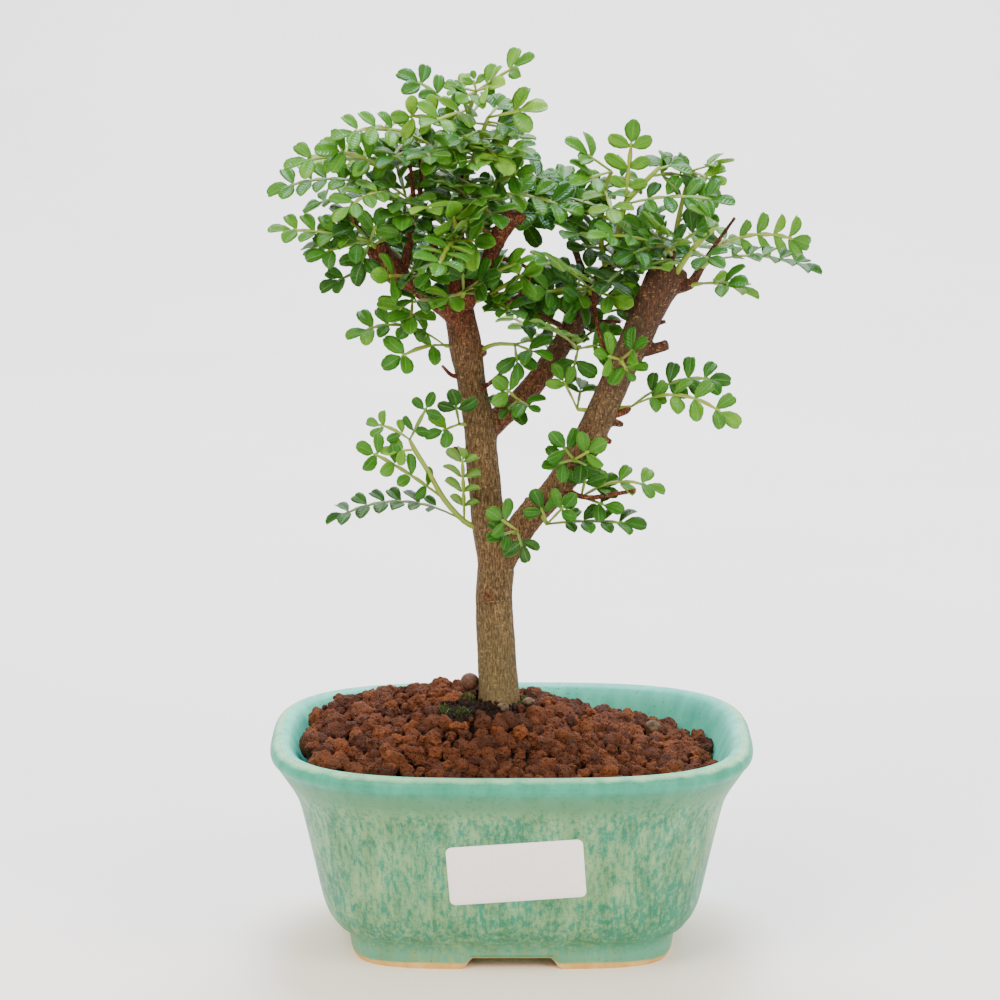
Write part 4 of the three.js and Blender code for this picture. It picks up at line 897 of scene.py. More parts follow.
# %% Bark
bark, tree, shader, where = new_material("thin cork bark", {
    "Roughness": 0.82, "IOR": 1.45, "Specular IOR Level": 0.3})
rust, crown_shade = (add(tree, "ShaderNodeAttribute", attribute_name=name).outputs["Fac"]
                   for name in ("rust", "crown_shade"))
long_way = add(tree, "ShaderNodeMapping", {"Vector": where, "Scale": (1, 1, 0.22)})
cork = add(tree, "ShaderNodeTexNoise", {"Vector": long_way, "Scale": 2700.0, "Detail": 4.0, "Roughness": 0.65,
                                        "Distortion": 0.3})
broad = add(tree, "ShaderNodeTexNoise", {"Vector": where, "Scale": 140.0, "Detail": 4.0})
old = add(tree, "ShaderNodeValToRGB", {0: cork}, stops=[
    (0.33, "#2C2213"), (0.46, "#4B3A22"), (0.56, "#665032"), (0.7, "#927852")])
young = add(tree, "ShaderNodeValToRGB", {0: cork}, stops=[
    (0.36, "#210E08"), (0.47, "#462114"), (0.58, "#6C381F"), (0.7, "#935A3A")])
rusty = add(tree, "ShaderNodeMath", {0: broad, 1: 0.9, 2: -0.45}, operation="MULTIPLY_ADD")
rusty = add(tree, "ShaderNodeMath", {0: rusty, 1: rust}, operation="ADD", use_clamp=True)
skin = add(tree, "ShaderNodeMix", {0: rusty, 6: old, 7: young}, data_type="RGBA")
height = add(tree, "ShaderNodeSeparateXYZ", {0: where})
damp = add(tree, "ShaderNodeMapRange", {0: height.outputs["Z"], 1: 0.098, 2: 0.062, 4: 0.55})
algae = add(tree, "ShaderNodeMath", {0: damp, 1: broad.outputs[0]}, operation="MULTIPLY")
# painted shade of the crown on the right bough, mixed towards dark brown
crown_shade_share = add(tree, "ShaderNodeMath", {0: crown_shade, 1: 0.5}, operation="MULTIPLY")
flat_way = add(tree, "ShaderNodeMapping", {"Vector": where, "Scale": (1, 1, 2.5)})
small = add(tree, "ShaderNodeTexVoronoi", {"Vector": flat_way, "Scale": 620.0})
small_mask = add(tree, "ShaderNodeMapRange", {0: small.outputs["Distance"], 1: 0.27, 2: 0.14, 4: 0.4})
large = add(tree, "ShaderNodeTexVoronoi", {"Vector": flat_way, "Scale": 310.0})
uneven = add(tree, "ShaderNodeMath", {0: large.outputs["Color"], 1: 0.22, 2: large.outputs["Distance"]},
             operation="MULTIPLY_ADD")
large_mask = add(tree, "ShaderNodeMapRange", {0: uneven, 1: 0.29, 2: 0.19, 4: 0.38})
pore_mask = add(tree, "ShaderNodeMath", {0: small_mask, 1: large_mask}, operation="MAXIMUM")
colour = skin.outputs[2]
for mask, tone in ((algae, "#868059"), (crown_shade_share, "#29211A"), (pore_mask, "#A98E60")):
    colour = add(tree, "ShaderNodeMix", {0: mask, 6: colour, 7: linear(tone)}, data_type="RGBA").outputs[2]
relief = add(tree, "ShaderNodeMath", {0: pore_mask, 1: 0.35, 2: cork.outputs[0]}, operation="MULTIPLY_ADD")
bump = add(tree, "ShaderNodeBump", {"Height": relief, "Strength": 0.85, "Distance": 0.00045})
connect(tree, shader, {"Base Color": colour, "Normal": bump})
trunk.data.materials.append(bark)
twigs = make_object("bare_twigs", *gather(tube(as_placed(rows), 10) for rows in BARE_TWIGS.values()))
write_values(twigs.data, "rust", np.full(len(twigs.data.vertices), 1.0))
twigs.data.materials.append(bark)
for piece in (trunk, twigs):
    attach(piece, "root")
    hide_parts("trunk")
print("twig triangles", triangles(twigs))

# %% [markdown]
# The leaves grow in sprays. A spray is a green stem, given like a limb, and its leaves: which point of the
# stem a leaf grows from, where its tip is, how many pairs of leaflets it has at least, which way its upper
# side faces (0 is edge-on to the eye, 90 turned to it), its size and how much it arches. Every spray has the
# name of the solid that it takes the place of. Leaves scattered by a rule would be quicker to write, but
# here each one is listed, because the outline of the crown is what makes this tree itself.

# %% The sprays
# stem: across, up, depth, radius; leaf: stem point, across, up, depth, pairs, facing, size, arch
SPRAYS = {
    "crown_top": [
        [[-12.6, 206, 2, 0.7], [-11.9, 218.8, 2, 0.7], [-10.9, 224, 1, 0.65], [-9.3, 228.7, 0, 0.6]],
        [[3, 5.7, 238, -6, 2, 50, 1, 0], [3, -2.3, 231, -12, 1, 30, 1, 0],
         [3, -17.5, 230.5, 5, 2, 60, 0.8, 0], [3, -10.4, 234, 4, 1, 60, 0.6, 0],
         [1, -28.9, 232.3, 3, 3, 70, 0.95, 3], [1, -31.3, 221.4, -8, 3, 60, 0.9, 2],
         [2, -23.5, 220, -16, 2, 50, 1.1, 0]],
    ],
    "crown_top_right": [
        [[-12.7, 204, 2, 0.7], [-8.3, 216.2, -3, 0.7], [-6.2, 221.9, -5, 0.6]],
        [[2, 9.3, 225, -9, 1, 65, 1.25, 0], [2, -1.3, 227.5, 3, 1, 70, 1.1, 0],
         [1, 6.5, 216.5, -4, 2, 20, 1, 0], [1, 5.5, 212.5, -16, 2, 45, 1, 0],
         [1, -0.5, 207.5, -20, 1, 45, 1.25, 0]],
    ],
    "crown_left_high": [
        [[-23.6, 208, 0, 0.7], [-22.6, 212, -1, 0.6], [-21.3, 214.9, -3, 0.6]],
        [[2, -47.2, 215.2, -12, 4, 45, 1, 4], [2, -37.9, 219, 9, 2, 25, 1, 1],
         [1, -14.8, 209, -14, 1, 65, 1.2, 0]],
    ],
    "crown_left_middle": [
        [[-27.6, 211, -3, 0.6], [-31, 211.5, -5, 0.55], [-33.9, 208.8, -6, 0.5]],
        [[2, -51.1, 212.3, -12, 2, 70, 1.1, 2], [2, -54.2, 209.4, 6, 3, 40, 1, 2],
         [2, -59.4, 208.4, -20, 3, 25, 1, 3]],
    ],
    "crown_left_low": [
        [[-25.8, 201, -3, 0.7], [-27.6, 200.4, -5, 0.7]],
        [[1, -64.1, 201.4, -6, 6, 20, 1, 5], [1, -54.8, 197.5, 12, 4, 40, 1, 3],
         [1, -46.9, 193, -22, 4, 30, 1, 5], [1, -18.8, 197, -22, 1, 30, 1, 0],
         [1, -28.5, 193, -20, 1, 55, 1.2, 0]],
    ],
    "left_bough_tip": [
        [[-35, 187.6, -5, 0.8], [-37, 189.6, -8, 0.7]],
        [[1, -63.5, 192.5, -10, 4, 60, 1, 1], [1, -54.8, 187.5, 6, 3, 50, 1, 1],
         [1, -54, 184.1, -20, 2, 70, 1, 1], [1, -41, 178.5, -15, 1, 80, 1, 0],
         [1, -33.6, 198.5, -17, 1, 75, 1, 0]],
    ],
    "left_bough_under": [
        [[-32, 183, -5, 0.7], [-35.6, 181.6, -7, 0.6]],
        [[1, -50.7, 175.2, -8, 3, 45, 0.95, 2]],
    ],
    "left_bough_front": [
        [[-28, 180.2, -5, 0.8], [-27, 180.6, -9, 0.7]],
        [[1, -36.5, 180.5, -17, 1, 50, 1.05, 0], [1, -16.5, 178, -17, 2, 55, 1, 1]],
    ],
    "left_bough_hanging": [
        [[-25, 177.5, -3, 0.7], [-26, 174.5, -5, 0.6]],
        [[1, -33, 168.5, -8, 1, 70, 1.1, 0], [1, -26.5, 165.5, -11, 1, 80, 1, 0]],
    ],
    "leader_front": [
        [[-14, 190, 1, 0.8], [-14.4, 190, -6, 0.8]],
        [[1, -25.3, 190.5, -18, 1, 60, 1.25, 0], [1, -20, 180.5, -34, 3, 50, 1.1, 2],
         [1, -4.8, 189.4, -16, 1, 55, 1.2, 0], [1, -15.6, 199.5, -14, 1, 70, 1.15, 0]],
    ],
    "trunk_head_front": [
        [[-13, 175, 0, 0.8], [-12.6, 176.5, -7, 0.8]],
        [[1, -21.4, 172.5, -18, 1, 50, 1.1, 0], [1, -13.1, 186.4, -17, 1, 70, 1.1, 0],
         [1, -3.2, 180.5, -18, 1, 55, 1.1, 0]],
    ],
    "trunk_head_right": [
        [[-11, 173.5, 0, 0.7], [-7, 174.5, -3, 0.6]],
        [[1, 2.6, 177.6, -14, 1, 30, 1, 0], [1, 3.2, 169.6, -16, 2, 45, 0.95, 0]],
    ],
    "leader_right": [
        [[-13, 200.5, 2, 0.7], [-10.4, 201, 0, 0.7]],
        [[1, 19, 195.9, -5, 4, 65, 1.15, 3], [1, 12.5, 206.3, 12, 3, 25, 1, 2],
         [1, -2.2, 193.8, -18, 1, 60, 1.2, 0]],
    ],
    "crown_centre": [
        [[13.9, 196, 12, 0.8], [13.3, 200.6, 11, 0.7]],
        [[1, 13.8, 210, 14, 1, 80, 1.2, 0], [1, 24, 204.2, 8, 1, 75, 1.2, 0],
         [1, 4.6, 205.5, 22, 1, 80, 1.2, 0], [1, 1.2, 192.3, 2, 2, 60, 1.1, 1]],
    ],
    "crown_right_shoot": [
        [[24.6, 182, 8, 0.9], [23, 192, 5, 0.8], [24.1, 203.2, 3, 0.7], [25.9, 207.9, 2, 0.6]],
        [[3, 13.8, 216.2, -4, 1, 45, 1.25, 0], [3, 15.8, 205, -12, 1, 70, 1.2, 0],
         [2, 27, 195, -15, 1, 60, 1.1, 0], [1, 13.4, 191, -14, 1, 55, 1.25, 0]],
    ],
    "crown_right_upright": [
        [[27.4, 184.6, 9, 0.9], [27.6, 191.5, 3, 0.8], [29.4, 199.3, -2, 0.8], [31.4, 202, -3, 0.8],
         [38.4, 209.2, -5, 0.7]],
        [[2, 31.5, 221.5, -7, 3, 80, 1, 0], [2, 57.9, 199.3, -10, 4, 55, 1, 2]],
    ],
    "crown_right_fan": [
        [[41.8, 185.5, -4.6, 0.8], [43.4, 196, 2, 0.7], [46.2, 208, 4, 0.6]],
        [[2, 57.5, 211.3, 0, 1, 25, 1, 0], [2, 33.5, 211.8, 9, 2, 25, 1, 0],
         [2, 55.5, 204.6, -8, 1, 45, 1, 0], [2, 54.9, 200.6, 12, 1, 60, 0.95, 0]],
    ],
    "right_bough_top": [
        [[41.6, 186, -5, 0.8], [40.4, 187.6, -9, 0.8]],
        [[1, 19.8, 190.2, -18, 4, 30, 1, 2], [1, 27, 183, -36, 3, 40, 1, 2],
         [1, 36, 196.4, -20, 1, 60, 1.1, 0]],
    ],
    "middle_branch_tip": [
        [[26.6, 183.8, 8.4, 0.8], [31, 182.8, 3, 0.7]],
        [[1, 27, 175.6, -2, 1, 75, 1.15, 0], [1, 41, 182.6, -12, 1, 35, 1, 0]],
    ],
    "middle_branch_top": [
        [[21, 175.7, 6, 0.8], [20, 177.4, 1, 0.8]],
        [[1, 2.1, 175.2, -8, 2, 60, 1.3, 0], [1, 7, 184, -28, 3, 50, 1, 2],
         [1, 14, 168.8, -9, 1, 80, 1.05, 0], [1, 31.5, 172.8, -8, 1, 60, 1.1, 0]],
    ],
    "middle_branch_back": [
        [[14.2, 165, 5, 0.7], [13, 168, 11, 0.7]],
        [[1, 2.5, 172.3, 18, 1, 60, 1.1, 0], [1, 22, 177.5, 24, 1, 50, 1, 0]],
    ],
    "trunk_middle_right": [
        [[-9, 160.5, 0, 0.7], [-4.5, 162.5, -4, 0.6], [0.8, 162.5, -7, 0.6]],
        [[2, 10.2, 158.6, -14, 1, 50, 1, 0], [2, 1.8, 152.8, -11, 1, 80, 1, 0],
         [2, 11, 165, 0, 1, 30, 1, 0]],
    ],
    "middle_branch_right": [
        [[15.4, 163, 4, 0.7], [17.4, 161.4, 0, 0.7]],
        [[1, 28, 163.2, -1, 1, 60, 1.15, 0], [1, 15.4, 152.2, -5, 1, 80, 1, 0]],
    ],
    "middle_branch_low": [
        [[2.1, 147.3, 2, 0.7], [1.6, 147.6, -3, 0.7]],
        [[1, -4.6, 153.8, -9, 1, 70, 1, 0], [1, -3.2, 143, -10, 1, 70, 1, 0],
         [1, 7.2, 144.4, -9, 1, 70, 0.9, 0]],
    ],
    "right_bough_left": [
        [[23.6, 144.6, -6, 0.8], [17.2, 145.2, -6, 0.7]],
        [[1, 10.8, 156.3, -5, 2, 70, 0.85, 1], [1, 18.6, 153.6, 6, 1, 70, 0.9, 0]],
    ],
    "right_bough_front": [
        [[29, 157, -7, 0.8], [28.6, 158.4, -13, 0.7]],
        [[1, 35.4, 163.6, -19, 1, 50, 1, 0], [1, 21.6, 160.2, -19, 1, 70, 1, 0],
         [1, 32, 152.5, -20, 1, 60, 1, 0]],
    ],
    "right_bough_right": [
        [[25, 145.2, -6, 0.8], [31.4, 145.8, -6.5, 0.7]],
        [[1, 57.6, 151.8, -2, 4, 60, 0.95, 4], [1, 61.1, 139, -14, 4, 65, 1, 6]],
    ],
    "right_twig_long": [
        [[49.3, 182.8, -9, 0.8], [51.4, 184.4, -11, 0.7]],
        [[1, 81.6, 180.7, -12, 5, 30, 1, 3]],
    ],
    "right_twig_high": [
        [[52.2, 187.4, -8, 0.7], [54.6, 189, -6, 0.6]],
        [[1, 78.2, 188, 4, 4, 60, 1, 3]],
    ],
    "right_bough_shoot": [
        [[42.4, 180.6, -8, 0.9], [46.9, 187.5, -13, 0.8], [53.7, 194.1, -14, 0.7]],
        [[2, 46.3, 198.7, -20, 1, 40, 1, 0], [1, 55, 183, -24, 1, 60, 1, 0]],
    ],
    "right_twig_low": [
        [[46.3, 178.2, -8, 0.8], [49.6, 178.6, -11, 0.6]],
        [[1, 65, 173.4, -14, 2, 20, 1, 2], [1, 61.4, 178.8, -22, 1, 60, 1, 0]],
    ],
    "low_right_tuft": [
        [[0.4, 111.5, -3, 0.8], [1.4, 112.5, -9, 0.7]],
        [[1, -6.6, 118, -15, 1, 75, 0.95, 0], [1, -6.6, 109.8, -17, 1, 60, 0.95, 0],
         [1, 4, 103.6, -14, 1, 80, 0.9, 0]],
    ],
    "low_right_spray": [
        [[7, 118.6, -4, 0.8], [9.4, 114.2, -9, 0.7]],
        [[1, 36, 113.5, -15, 4, 65, 1, 1], [1, 16.8, 122, -18, 1, 70, 0.95, 0]],
    ],
    "low_right_long": [
        [[13, 124.6, -6, 0.8], [18.4, 121.6, -8, 0.7]],
        [[1, 41.3, 121.6, -6, 3, 50, 0.9, 4]],
    ],
    "right_bough_tuft": [
        [[17.2, 131.4, -8, 0.8], [16.4, 131.6, -12, 0.7]],
        [[1, 10.4, 139, -17, 1, 70, 0.95, 0], [1, 24.8, 136.4, -18, 1, 70, 1, 0],
         [1, 8, 129.6, -17, 1, 65, 0.9, 0]],
    ],
    "low_left_shoot": [
        [[-8.5, 113, -1, 0.9], [-12.6, 115, -2, 0.8], [-17.8, 120.8, -4, 0.8], [-21.6, 127.6, -5, 0.7],
         [-25.6, 134.3, -5, 0.7], [-26.9, 137, -5, 0.6]],
        [[1, -50.1, 113.5, -8, 6, 35, 0.95, 6], [2, -40.9, 135.4, -12, 4, 60, 0.9, 1],
         [5, -38.4, 141.6, -2, 3, 60, 0.65, 1], [5, -20.4, 149.4, -9, 3, 75, 0.75, 0],
         [1, -13.2, 135.4, -12, 2, 12, 0.85, 0]],
    ],
    "trunk_left_tuft": [
        [[-9, 141, 0, 0.7], [-13.8, 141.2, -3, 0.6]],
        [[1, -15.6, 150.6, -6, 1, 70, 0.9, 0], [1, -22.6, 137.6, -8, 1, 65, 0.95, 0]],
    ],
    "trunk_left_upper": [
        [[-12.6, 161.4, 0, 0.8], [-17.6, 162.2, -1, 0.7]],
        [[1, -43.9, 163, -6, 4, 45, 0.95, 5], [1, -34.2, 155.3, -14, 2, 70, 1, 2]],
    ],
    "back_left": [
        [[-24, 177.4, -2, 0.8], [-25.5, 182, 8, 0.7]],
        [[1, -44, 189, 34, 3, 40, 1, 3], [1, -29, 199, 38, 2, 60, 1, 1]],
    ],
    "back_leader": [
        [[-13.6, 187, 3, 0.8], [-10, 193, 12, 0.7]],
        [[1, 3.6, 199, 44, 3, 50, 1, 3], [1, -17, 208, 36, 2, 65, 1, 1]],
    ],
    "back_right": [
        [[37, 174, -3, 0.8], [40.4, 184, 8, 0.7]],
        [[1, 60, 190, 32, 2, 40, 1, 2], [1, 32, 196, 38, 2, 60, 1, 1]],
    ],
    "back_middle": [
        [[10, 157.6, 4, 0.7], [10.6, 160, 13, 0.7]],
        [[1, -2, 170, 38, 3, 50, 1, 2]],
    ],
}
print("sprays", len(SPRAYS))

# %% [markdown]
# In the solids every leaf was slid along the line of sight, and turned a little, until it touched no other.
# That search need not be run again: a leaf's tip is a corner of its solid, so of the few slides and turns
# that were tried, the one whose tip falls on such a corner is the one that was taken.

# %% Where each leaf sits
# slides along the line of sight and turns round the rib, in the order they were tried
SHIFTS = [0, 3, -3, 6, -6, 9, -9, 12, -12, 16, -16, 20, -20, 25, -25, 30, -30]
TURNS = [0, 18, -18, 36]
SWAY = 16
BLADE = 0.6
FOLD = 0.18
EYE_TILT = 12
DRAWS_PER_LEAF = 14


def seeded_random(state):
    """The plain congruential generator of the solids, so that both draw the same numbers."""
    while True:
        state = (state * 1664525 + 1013904223) % 2 ** 32
        yield state / 2 ** 32


def unit(vector):
    return np.asarray(vector, float) / np.linalg.norm(vector)


def leaf_axes(base, tip, facing):
    """A leaf's directions along its rib, across it and out of its upper side."""
    along = unit(tip - base)
    angle = math.radians(facing - EYE_TILT)
    normal = np.array([0, -math.sin(angle), math.cos(angle)])
    normal = unit(normal - along * normal.dot(along))
    return along, np.cross(normal, along), normal


def place_leaf(corners, base, row, draw):
    """The try whose tip, on both faces of the blade, lies nearest to corners of the spray's solid."""
    _, across, up, depth, _, facing, _, _ = row
    choices = []
    for shift in SHIFTS:
        for turn in TURNS:
            tip = seen([across, up, depth + shift])
            axes = leaf_axes(base, tip, facing + turn + SWAY * (draw - 0.5))
            miss = sum(np.linalg.norm(corners - (tip + side * BLADE / 2 * axes[2]), axis=1).min()
                       for side in (-1, 1))
            choices.append((miss, len(choices), tip, axes))
    return min(choices)


leaf_draws = seeded_random(5)
LEAVES = {}
worst = 0
for name, (stem, rows) in SPRAYS.items():
    corners = (read_points(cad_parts[name].data) - np.array([POT_X, POT_Y, 0])) / MM
    LEAVES[name] = []
    for row in rows:
        draws = [next(leaf_draws) for _ in range(1 + DRAWS_PER_LEAF)]
        base = seen(stem[row[0]])
        miss, _, tip, axes = place_leaf(corners, base, row, draws[0])
        worst = max(worst, miss)
        LEAVES[name].append({"base": base, "tip": tip, "axes": axes, "pairs": row[4], "size": row[6],
                             "arch": row[7], "draws": draws[1:]})
print("leaves", sum(len(leaves) for leaves in LEAVES.values()), "worst miss in mm", round(worst, 3))

# %% [markdown]
# Low on the tree a few single leaves are smaller than a node of the frame is worth. They grow from the same
# stems and are made in the same way, at the places where they are seen, with no search.

# %% Small leaves of the low shoots
# spray, stem point, across, up, depth, pairs, facing, size
SMALL_LEAVES = [
    ("low_right_long", 1, 20.5, 131.5, -12, 1, 75, 1), ("low_right_long", 1, 28.5, 127, -3, 1, 60, 1),
    ("low_right_spray", 1, 6, 123.5, -12, 1, 70, 0.9), ("low_left_shoot", 4, -34.5, 133.5, -9, 2, 60, 0.8),
    ("right_bough_tuft", 1, 23.5, 128.5, -17, 1, 70, 0.95),
    ("low_right_long", 1, 29.5, 117.5, -13, 1, 60, 0.9),
]
for name, step, across, up, depth, pairs, facing, size in SMALL_LEAVES:
    base, tip = seen(SPRAYS[name][0][step]), seen([across, up, depth])
    LEAVES[name].append({"base": base, "tip": tip, "axes": leaf_axes(base, tip, facing), "pairs": pairs,
                         "size": size, "arch": 0,
                         "draws": [next(leaf_draws) for _ in range(DRAWS_PER_LEAF)]})
print("small leaves", len(SMALL_LEAVES))

# %% [markdown]
# The solids carry the leaves that draw the outline. Inside the crown the tree has as many again, in the
# shade, and without them daylight shows through it. They are drawn at random from the same stems: each one
# must keep its tip inside the crown as it looks from the front, and must stay clear of the wood and of the
# tips that are already there.

# %% Leaves in the shade
# across, up, half width, half height of the crown's clouds of leaves, as seen from the front
CLOUDS = [(-32, 200, 27, 15), (-10, 210, 19, 21), (-16, 184, 26, 14), (14, 190, 22, 18), (42, 198, 20, 14),
          (20, 174, 18, 12)]
SHADE_LEAVES = {
    "crown_top": 7, "crown_top_right": 7, "crown_left_high": 6, "crown_left_middle": 4, "crown_left_low": 6,
    "left_bough_tip": 4, "left_bough_front": 3, "leader_front": 5, "trunk_head_front": 4,
    "trunk_head_right": 4, "leader_right": 7, "crown_centre": 7, "crown_right_shoot": 5,
    "crown_right_upright": 5, "crown_right_fan": 4, "right_bough_top": 5, "middle_branch_tip": 4,
    "middle_branch_top": 6, "middle_branch_back": 4, "middle_branch_right": 2, "back_leader": 4,
    "back_left": 4, "back_right": 4, "back_middle": 2,
}
# across, up, radius of the gaps between leaves through which wood is seen from the front
BARE_SPOTS = [(-35, 186, 8), (-28, 179.5, 6), (-1.5, 192.5, 8), (-13.5, 176, 6), (-25.5, 187, 5),
              (23, 168, 6)]
TIP_ROOM, WOOD_ROOM = 4.5, 2.2
BEHIND_WOOD = 4
TRIES = 80
# smallest and largest: start on the stem's run, rise, length, facing, size, arch
SHADE_START, SHADE_RISE, SHADE_LENGTH = (0.3, 1), (-0.35, 0.75), (11, 24)
SHADE_FACING, SHADE_SIZE, SHADE_ARCH = (20, 85), (0.9, 1.15), (0, 1.5)
wood_path = np.vstack([smooth_path(as_placed(rows), 3) for rows in WOOD.values()])
shade_luck = np.random.default_rng(21)


def in_front_view(point):
    """The inverse of seen: where a point appears on the upright plane through the trunk."""
    stretch = 1 + point[1] / -EYE[1]
    return EYE[0] + (point[0] - EYE[0]) / stretch, EYE[2] + (point[2] - EYE[2]) / stretch


def in_the_clouds(point):
    across, up = in_front_view(point)
    return any(((across - x) / half_x) ** 2 + ((up - z) / half_z) ** 2 < 1
               for x, z, half_x, half_z in CLOUDS)


def hides_wood(points):
    for point in points:
        across, up = in_front_view(point)
        over_a_gap = any(math.hypot(across - x, up - z) < radius for x, z, radius in BARE_SPOTS)
        if point[1] < BEHIND_WOOD and over_a_gap:
            return True
    return False


def clear_of_wood(points):
    gaps = np.linalg.norm(np.asarray(points)[:, None] - wood_path[None, :, :3], axis=2) - wood_path[:, 3]
    return gaps.min() > WOOD_ROOM


tips = [leaf["tip"] for leaves in LEAVES.values() for leaf in leaves]
shaded = 0
for name, wanted in SHADE_LEAVES.items():
    stem = [seen(point) for point in SPRAYS[name][0]]
    for _ in range(wanted):
        for _ in range(TRIES):
            step = shade_luck.integers(1, len(stem))
            base = stem[step - 1] + (stem[step] - stem[step - 1]) * shade_luck.uniform(*SHADE_START)
            turn, rise = shade_luck.uniform(0, 2 * math.pi), shade_luck.uniform(*SHADE_RISE)
            way = unit([math.cos(turn), math.sin(turn), rise])
            tip = base + way * shade_luck.uniform(*SHADE_LENGTH)
            room = min(np.linalg.norm(tip - other) for other in tips)
            outer_half = [(base + tip) / 2 + way * 2, tip]
            if (in_the_clouds(tip) and room > TIP_ROOM and clear_of_wood(outer_half)
                    and not hides_wood(outer_half)):
                facing = shade_luck.uniform(*SHADE_FACING)
                LEAVES[name].append({
                    "base": base, "tip": tip, "axes": leaf_axes(base, tip, facing), "pairs": 1,
                    "size": shade_luck.uniform(*SHADE_SIZE), "arch": shade_luck.uniform(*SHADE_ARCH),
                    "shade": True,
                    "draws": list(shade_luck.uniform(0, 1, DRAWS_PER_LEAF))})
                tips.append(tip)
                shaded += 1
                break
print("shade leaves", shaded)

# %% [markdown]
# One leaflet serves for all: about 6 mm long in life, drawn here 1 unit long and 1 unit wide, so that its
# size can be set where it is placed. It is obovate, widest beyond the middle, with a shallow notch at the tip
# and faint round teeth. The halves rise from the midrib and arch over, the tip bends down. A flat card would
# do from afar, but the curve is what catches the light. It is repeated over a thousand times, so it has only
# 128 triangles. Across and along are kept on the points: the veins will be drawn from them.

# %% One leaflet
# share of the length, half width, bend down
LEAFLET_ROWS = [(0, 0.05, 0), (0.07, 0.14, 0), (0.17, 0.27, 0.004), (0.3, 0.39, 0.01), (0.44, 0.465, 0.018),
                (0.58, 0.5, 0.03), (0.71, 0.495, 0.044), (0.82, 0.45, 0.06), (0.91, 0.36, 0.078),
                (0.97, 0.25, 0.092), (1, 0.12, 0.1)]
TOOTH, NOTCH = 0.012, 0.03
# how far the halves rise from the midrib, arch in their middle, and how thick the leaflet is
RISE, ARCH, THICKNESS = 0.26, 0.07, 0.05


def leaflet_object():
    points, faces, across, along, under = [], [], [], [], []
    last = len(LEAFLET_ROWS) - 1
    for i, (share, half, bend) in enumerate(LEAFLET_ROWS):
        half += TOOTH if i % 2 else -TOOTH
        notch = NOTCH if i == last else 0
        for u in (-1, -0.5, 0, 0.5, 1):
            lift = RISE * half * abs(u) + (ARCH * half if abs(u) == 0.5 else 0)
            points.append((u * half, share - notch * (1 - abs(u)), lift - bend))
            across.append(u)
            along.append(share)
        points.append((0, share - notch, -bend - THICKNESS * min(1, 4 * half)))
        across.append(0)
        along.append(share)
    for i in range(last):
        a, b = 6 * i, 6 * (i + 1)
        for k in range(4):
            faces.append((a + k, a + k + 1, b + k + 1, b + k))
            under.append(0)
        for left, right in ((0, 5), (5, 4)):
            faces.append((a + right, a + left, b + left, b + right))
            under.append(1)
    top = 6 * last
    faces += [(5, 4, 3, 2, 1, 0), (top, top + 1, top + 2, top + 3, top + 4, top + 5)]
    under += [1, 1]
    mesh = bpy.data.meshes.new("leaflet")
    mesh.from_pydata((np.array(points) * MM).tolist(), [], faces)
    for label, values, domain in (("across", across, "POINT"), ("along", along, "POINT"),
                                  ("under", under, "FACE")):
        mesh.attributes.new(label, "FLOAT", domain).data.foreach_set("value", values)
    mesh.shade_smooth()
    return bpy.data.objects.new("leaflet", mesh)


leaflet = leaflet_object()
print("leaflet triangles", triangles(leaflet))

# %% [markdown]
# A leaf is a winged rib with pairs of leaflets about every 5.3 mm and one at its tip. The wings swell between
# two pairs and pinch where leaflets sit. Its rib follows an arch between the base and the tip, so a place on
# the leaf is given by how far along the rib it is, how far across and how far above.

# %% The rib of a leaf
LEAFLET_LENGTH = 6.3
PAIR_PITCH = 5.3
END_LEAFLET = 6.6
BARE_STALK = 2.4
luck = np.random.default_rng(11)


def leaf_places(leaf):
    """Gives a function for places, one for headings, where the pairs sit, where the rib ends, its length."""
    along, side, normal = leaf["axes"]
    length = np.linalg.norm(leaf["tip"] - leaf["base"])

    def place(s, t=0.0, n=0.0):
        share = s / length
        lift = np.array([0, 0, leaf["arch"] * 4 * share * (1 - share)])
        return leaf["base"] + along * s + side * t + lift + normal * (n + FOLD * abs(t))

    def heading(s):
        return unit(along + np.array([0, 0, leaf["arch"] * 4 * (1 - 2 * s / length) / length]))

    end = length - min(END_LEAFLET * leaf["size"], 0.55 * length)
    last = end - 0.8
    first = min(last, max(BARE_STALK, 0.2 * length))
    count = max(leaf["pairs"] if last - first > 4 * (leaf["pairs"] - 1) else 1,
                int((last - first) / (PAIR_PITCH * leaf["size"])) + 1)
    nodes = [first + (last - first) * k / (count - 1) for k in range(count)] if count > 1 else [last]
    return place, heading, nodes, end, length


def rib(place, nodes, end, size):
    """A round rib with a thin wing on either side, pinched at each pair of leaflets."""
    stops = [0.0] + [nodes[0] * share for share in (0.35, 0.7)]
    widths = [0.3, 0.3, 0.42]
    for here, after in zip(nodes, nodes[1:] + [end]):
        stops += [here, here + 0.25 * (after - here), here + 0.6 * (after - here)]
        widths += [0.34, 0.56, 0.62]
    stops.append(end + 0.5)
    widths.append(0.2)
    points = []
    for s, width in zip(stops, widths):
        wing = width * (0.7 + 0.35 * size)
        for t, n in ((-wing, 0.14), (-0.2, 0.24), (0.2, 0.24), (wing, 0.14), (0.2, -0.26), (-0.2, -0.26)):
            points.append(place(s, t, n))
    faces = [(5, 4, 3, 2, 1, 0), tuple(range(len(points) - 6, len(points)))]
    for row in range(len(stops) - 1):
        for i in range(6):
            a, b = 6 * row + i, 6 * row + (i + 1) % 6
            faces.append((a, b, b + 6, a + 6))
    return points, faces


print("leaflet length", LEAFLET_LENGTH, "pitch", PAIR_PITCH)

# %% [markdown]
# Each leaflet starts as one loose point, its root, that carries its direction, its upper side and its size as
# attributes. The leaflets of a pair stand off the rib at about 60 degrees, each with a little chance in it.
# An age goes along too: leaves high in the crown are young, and those in its shade are old.

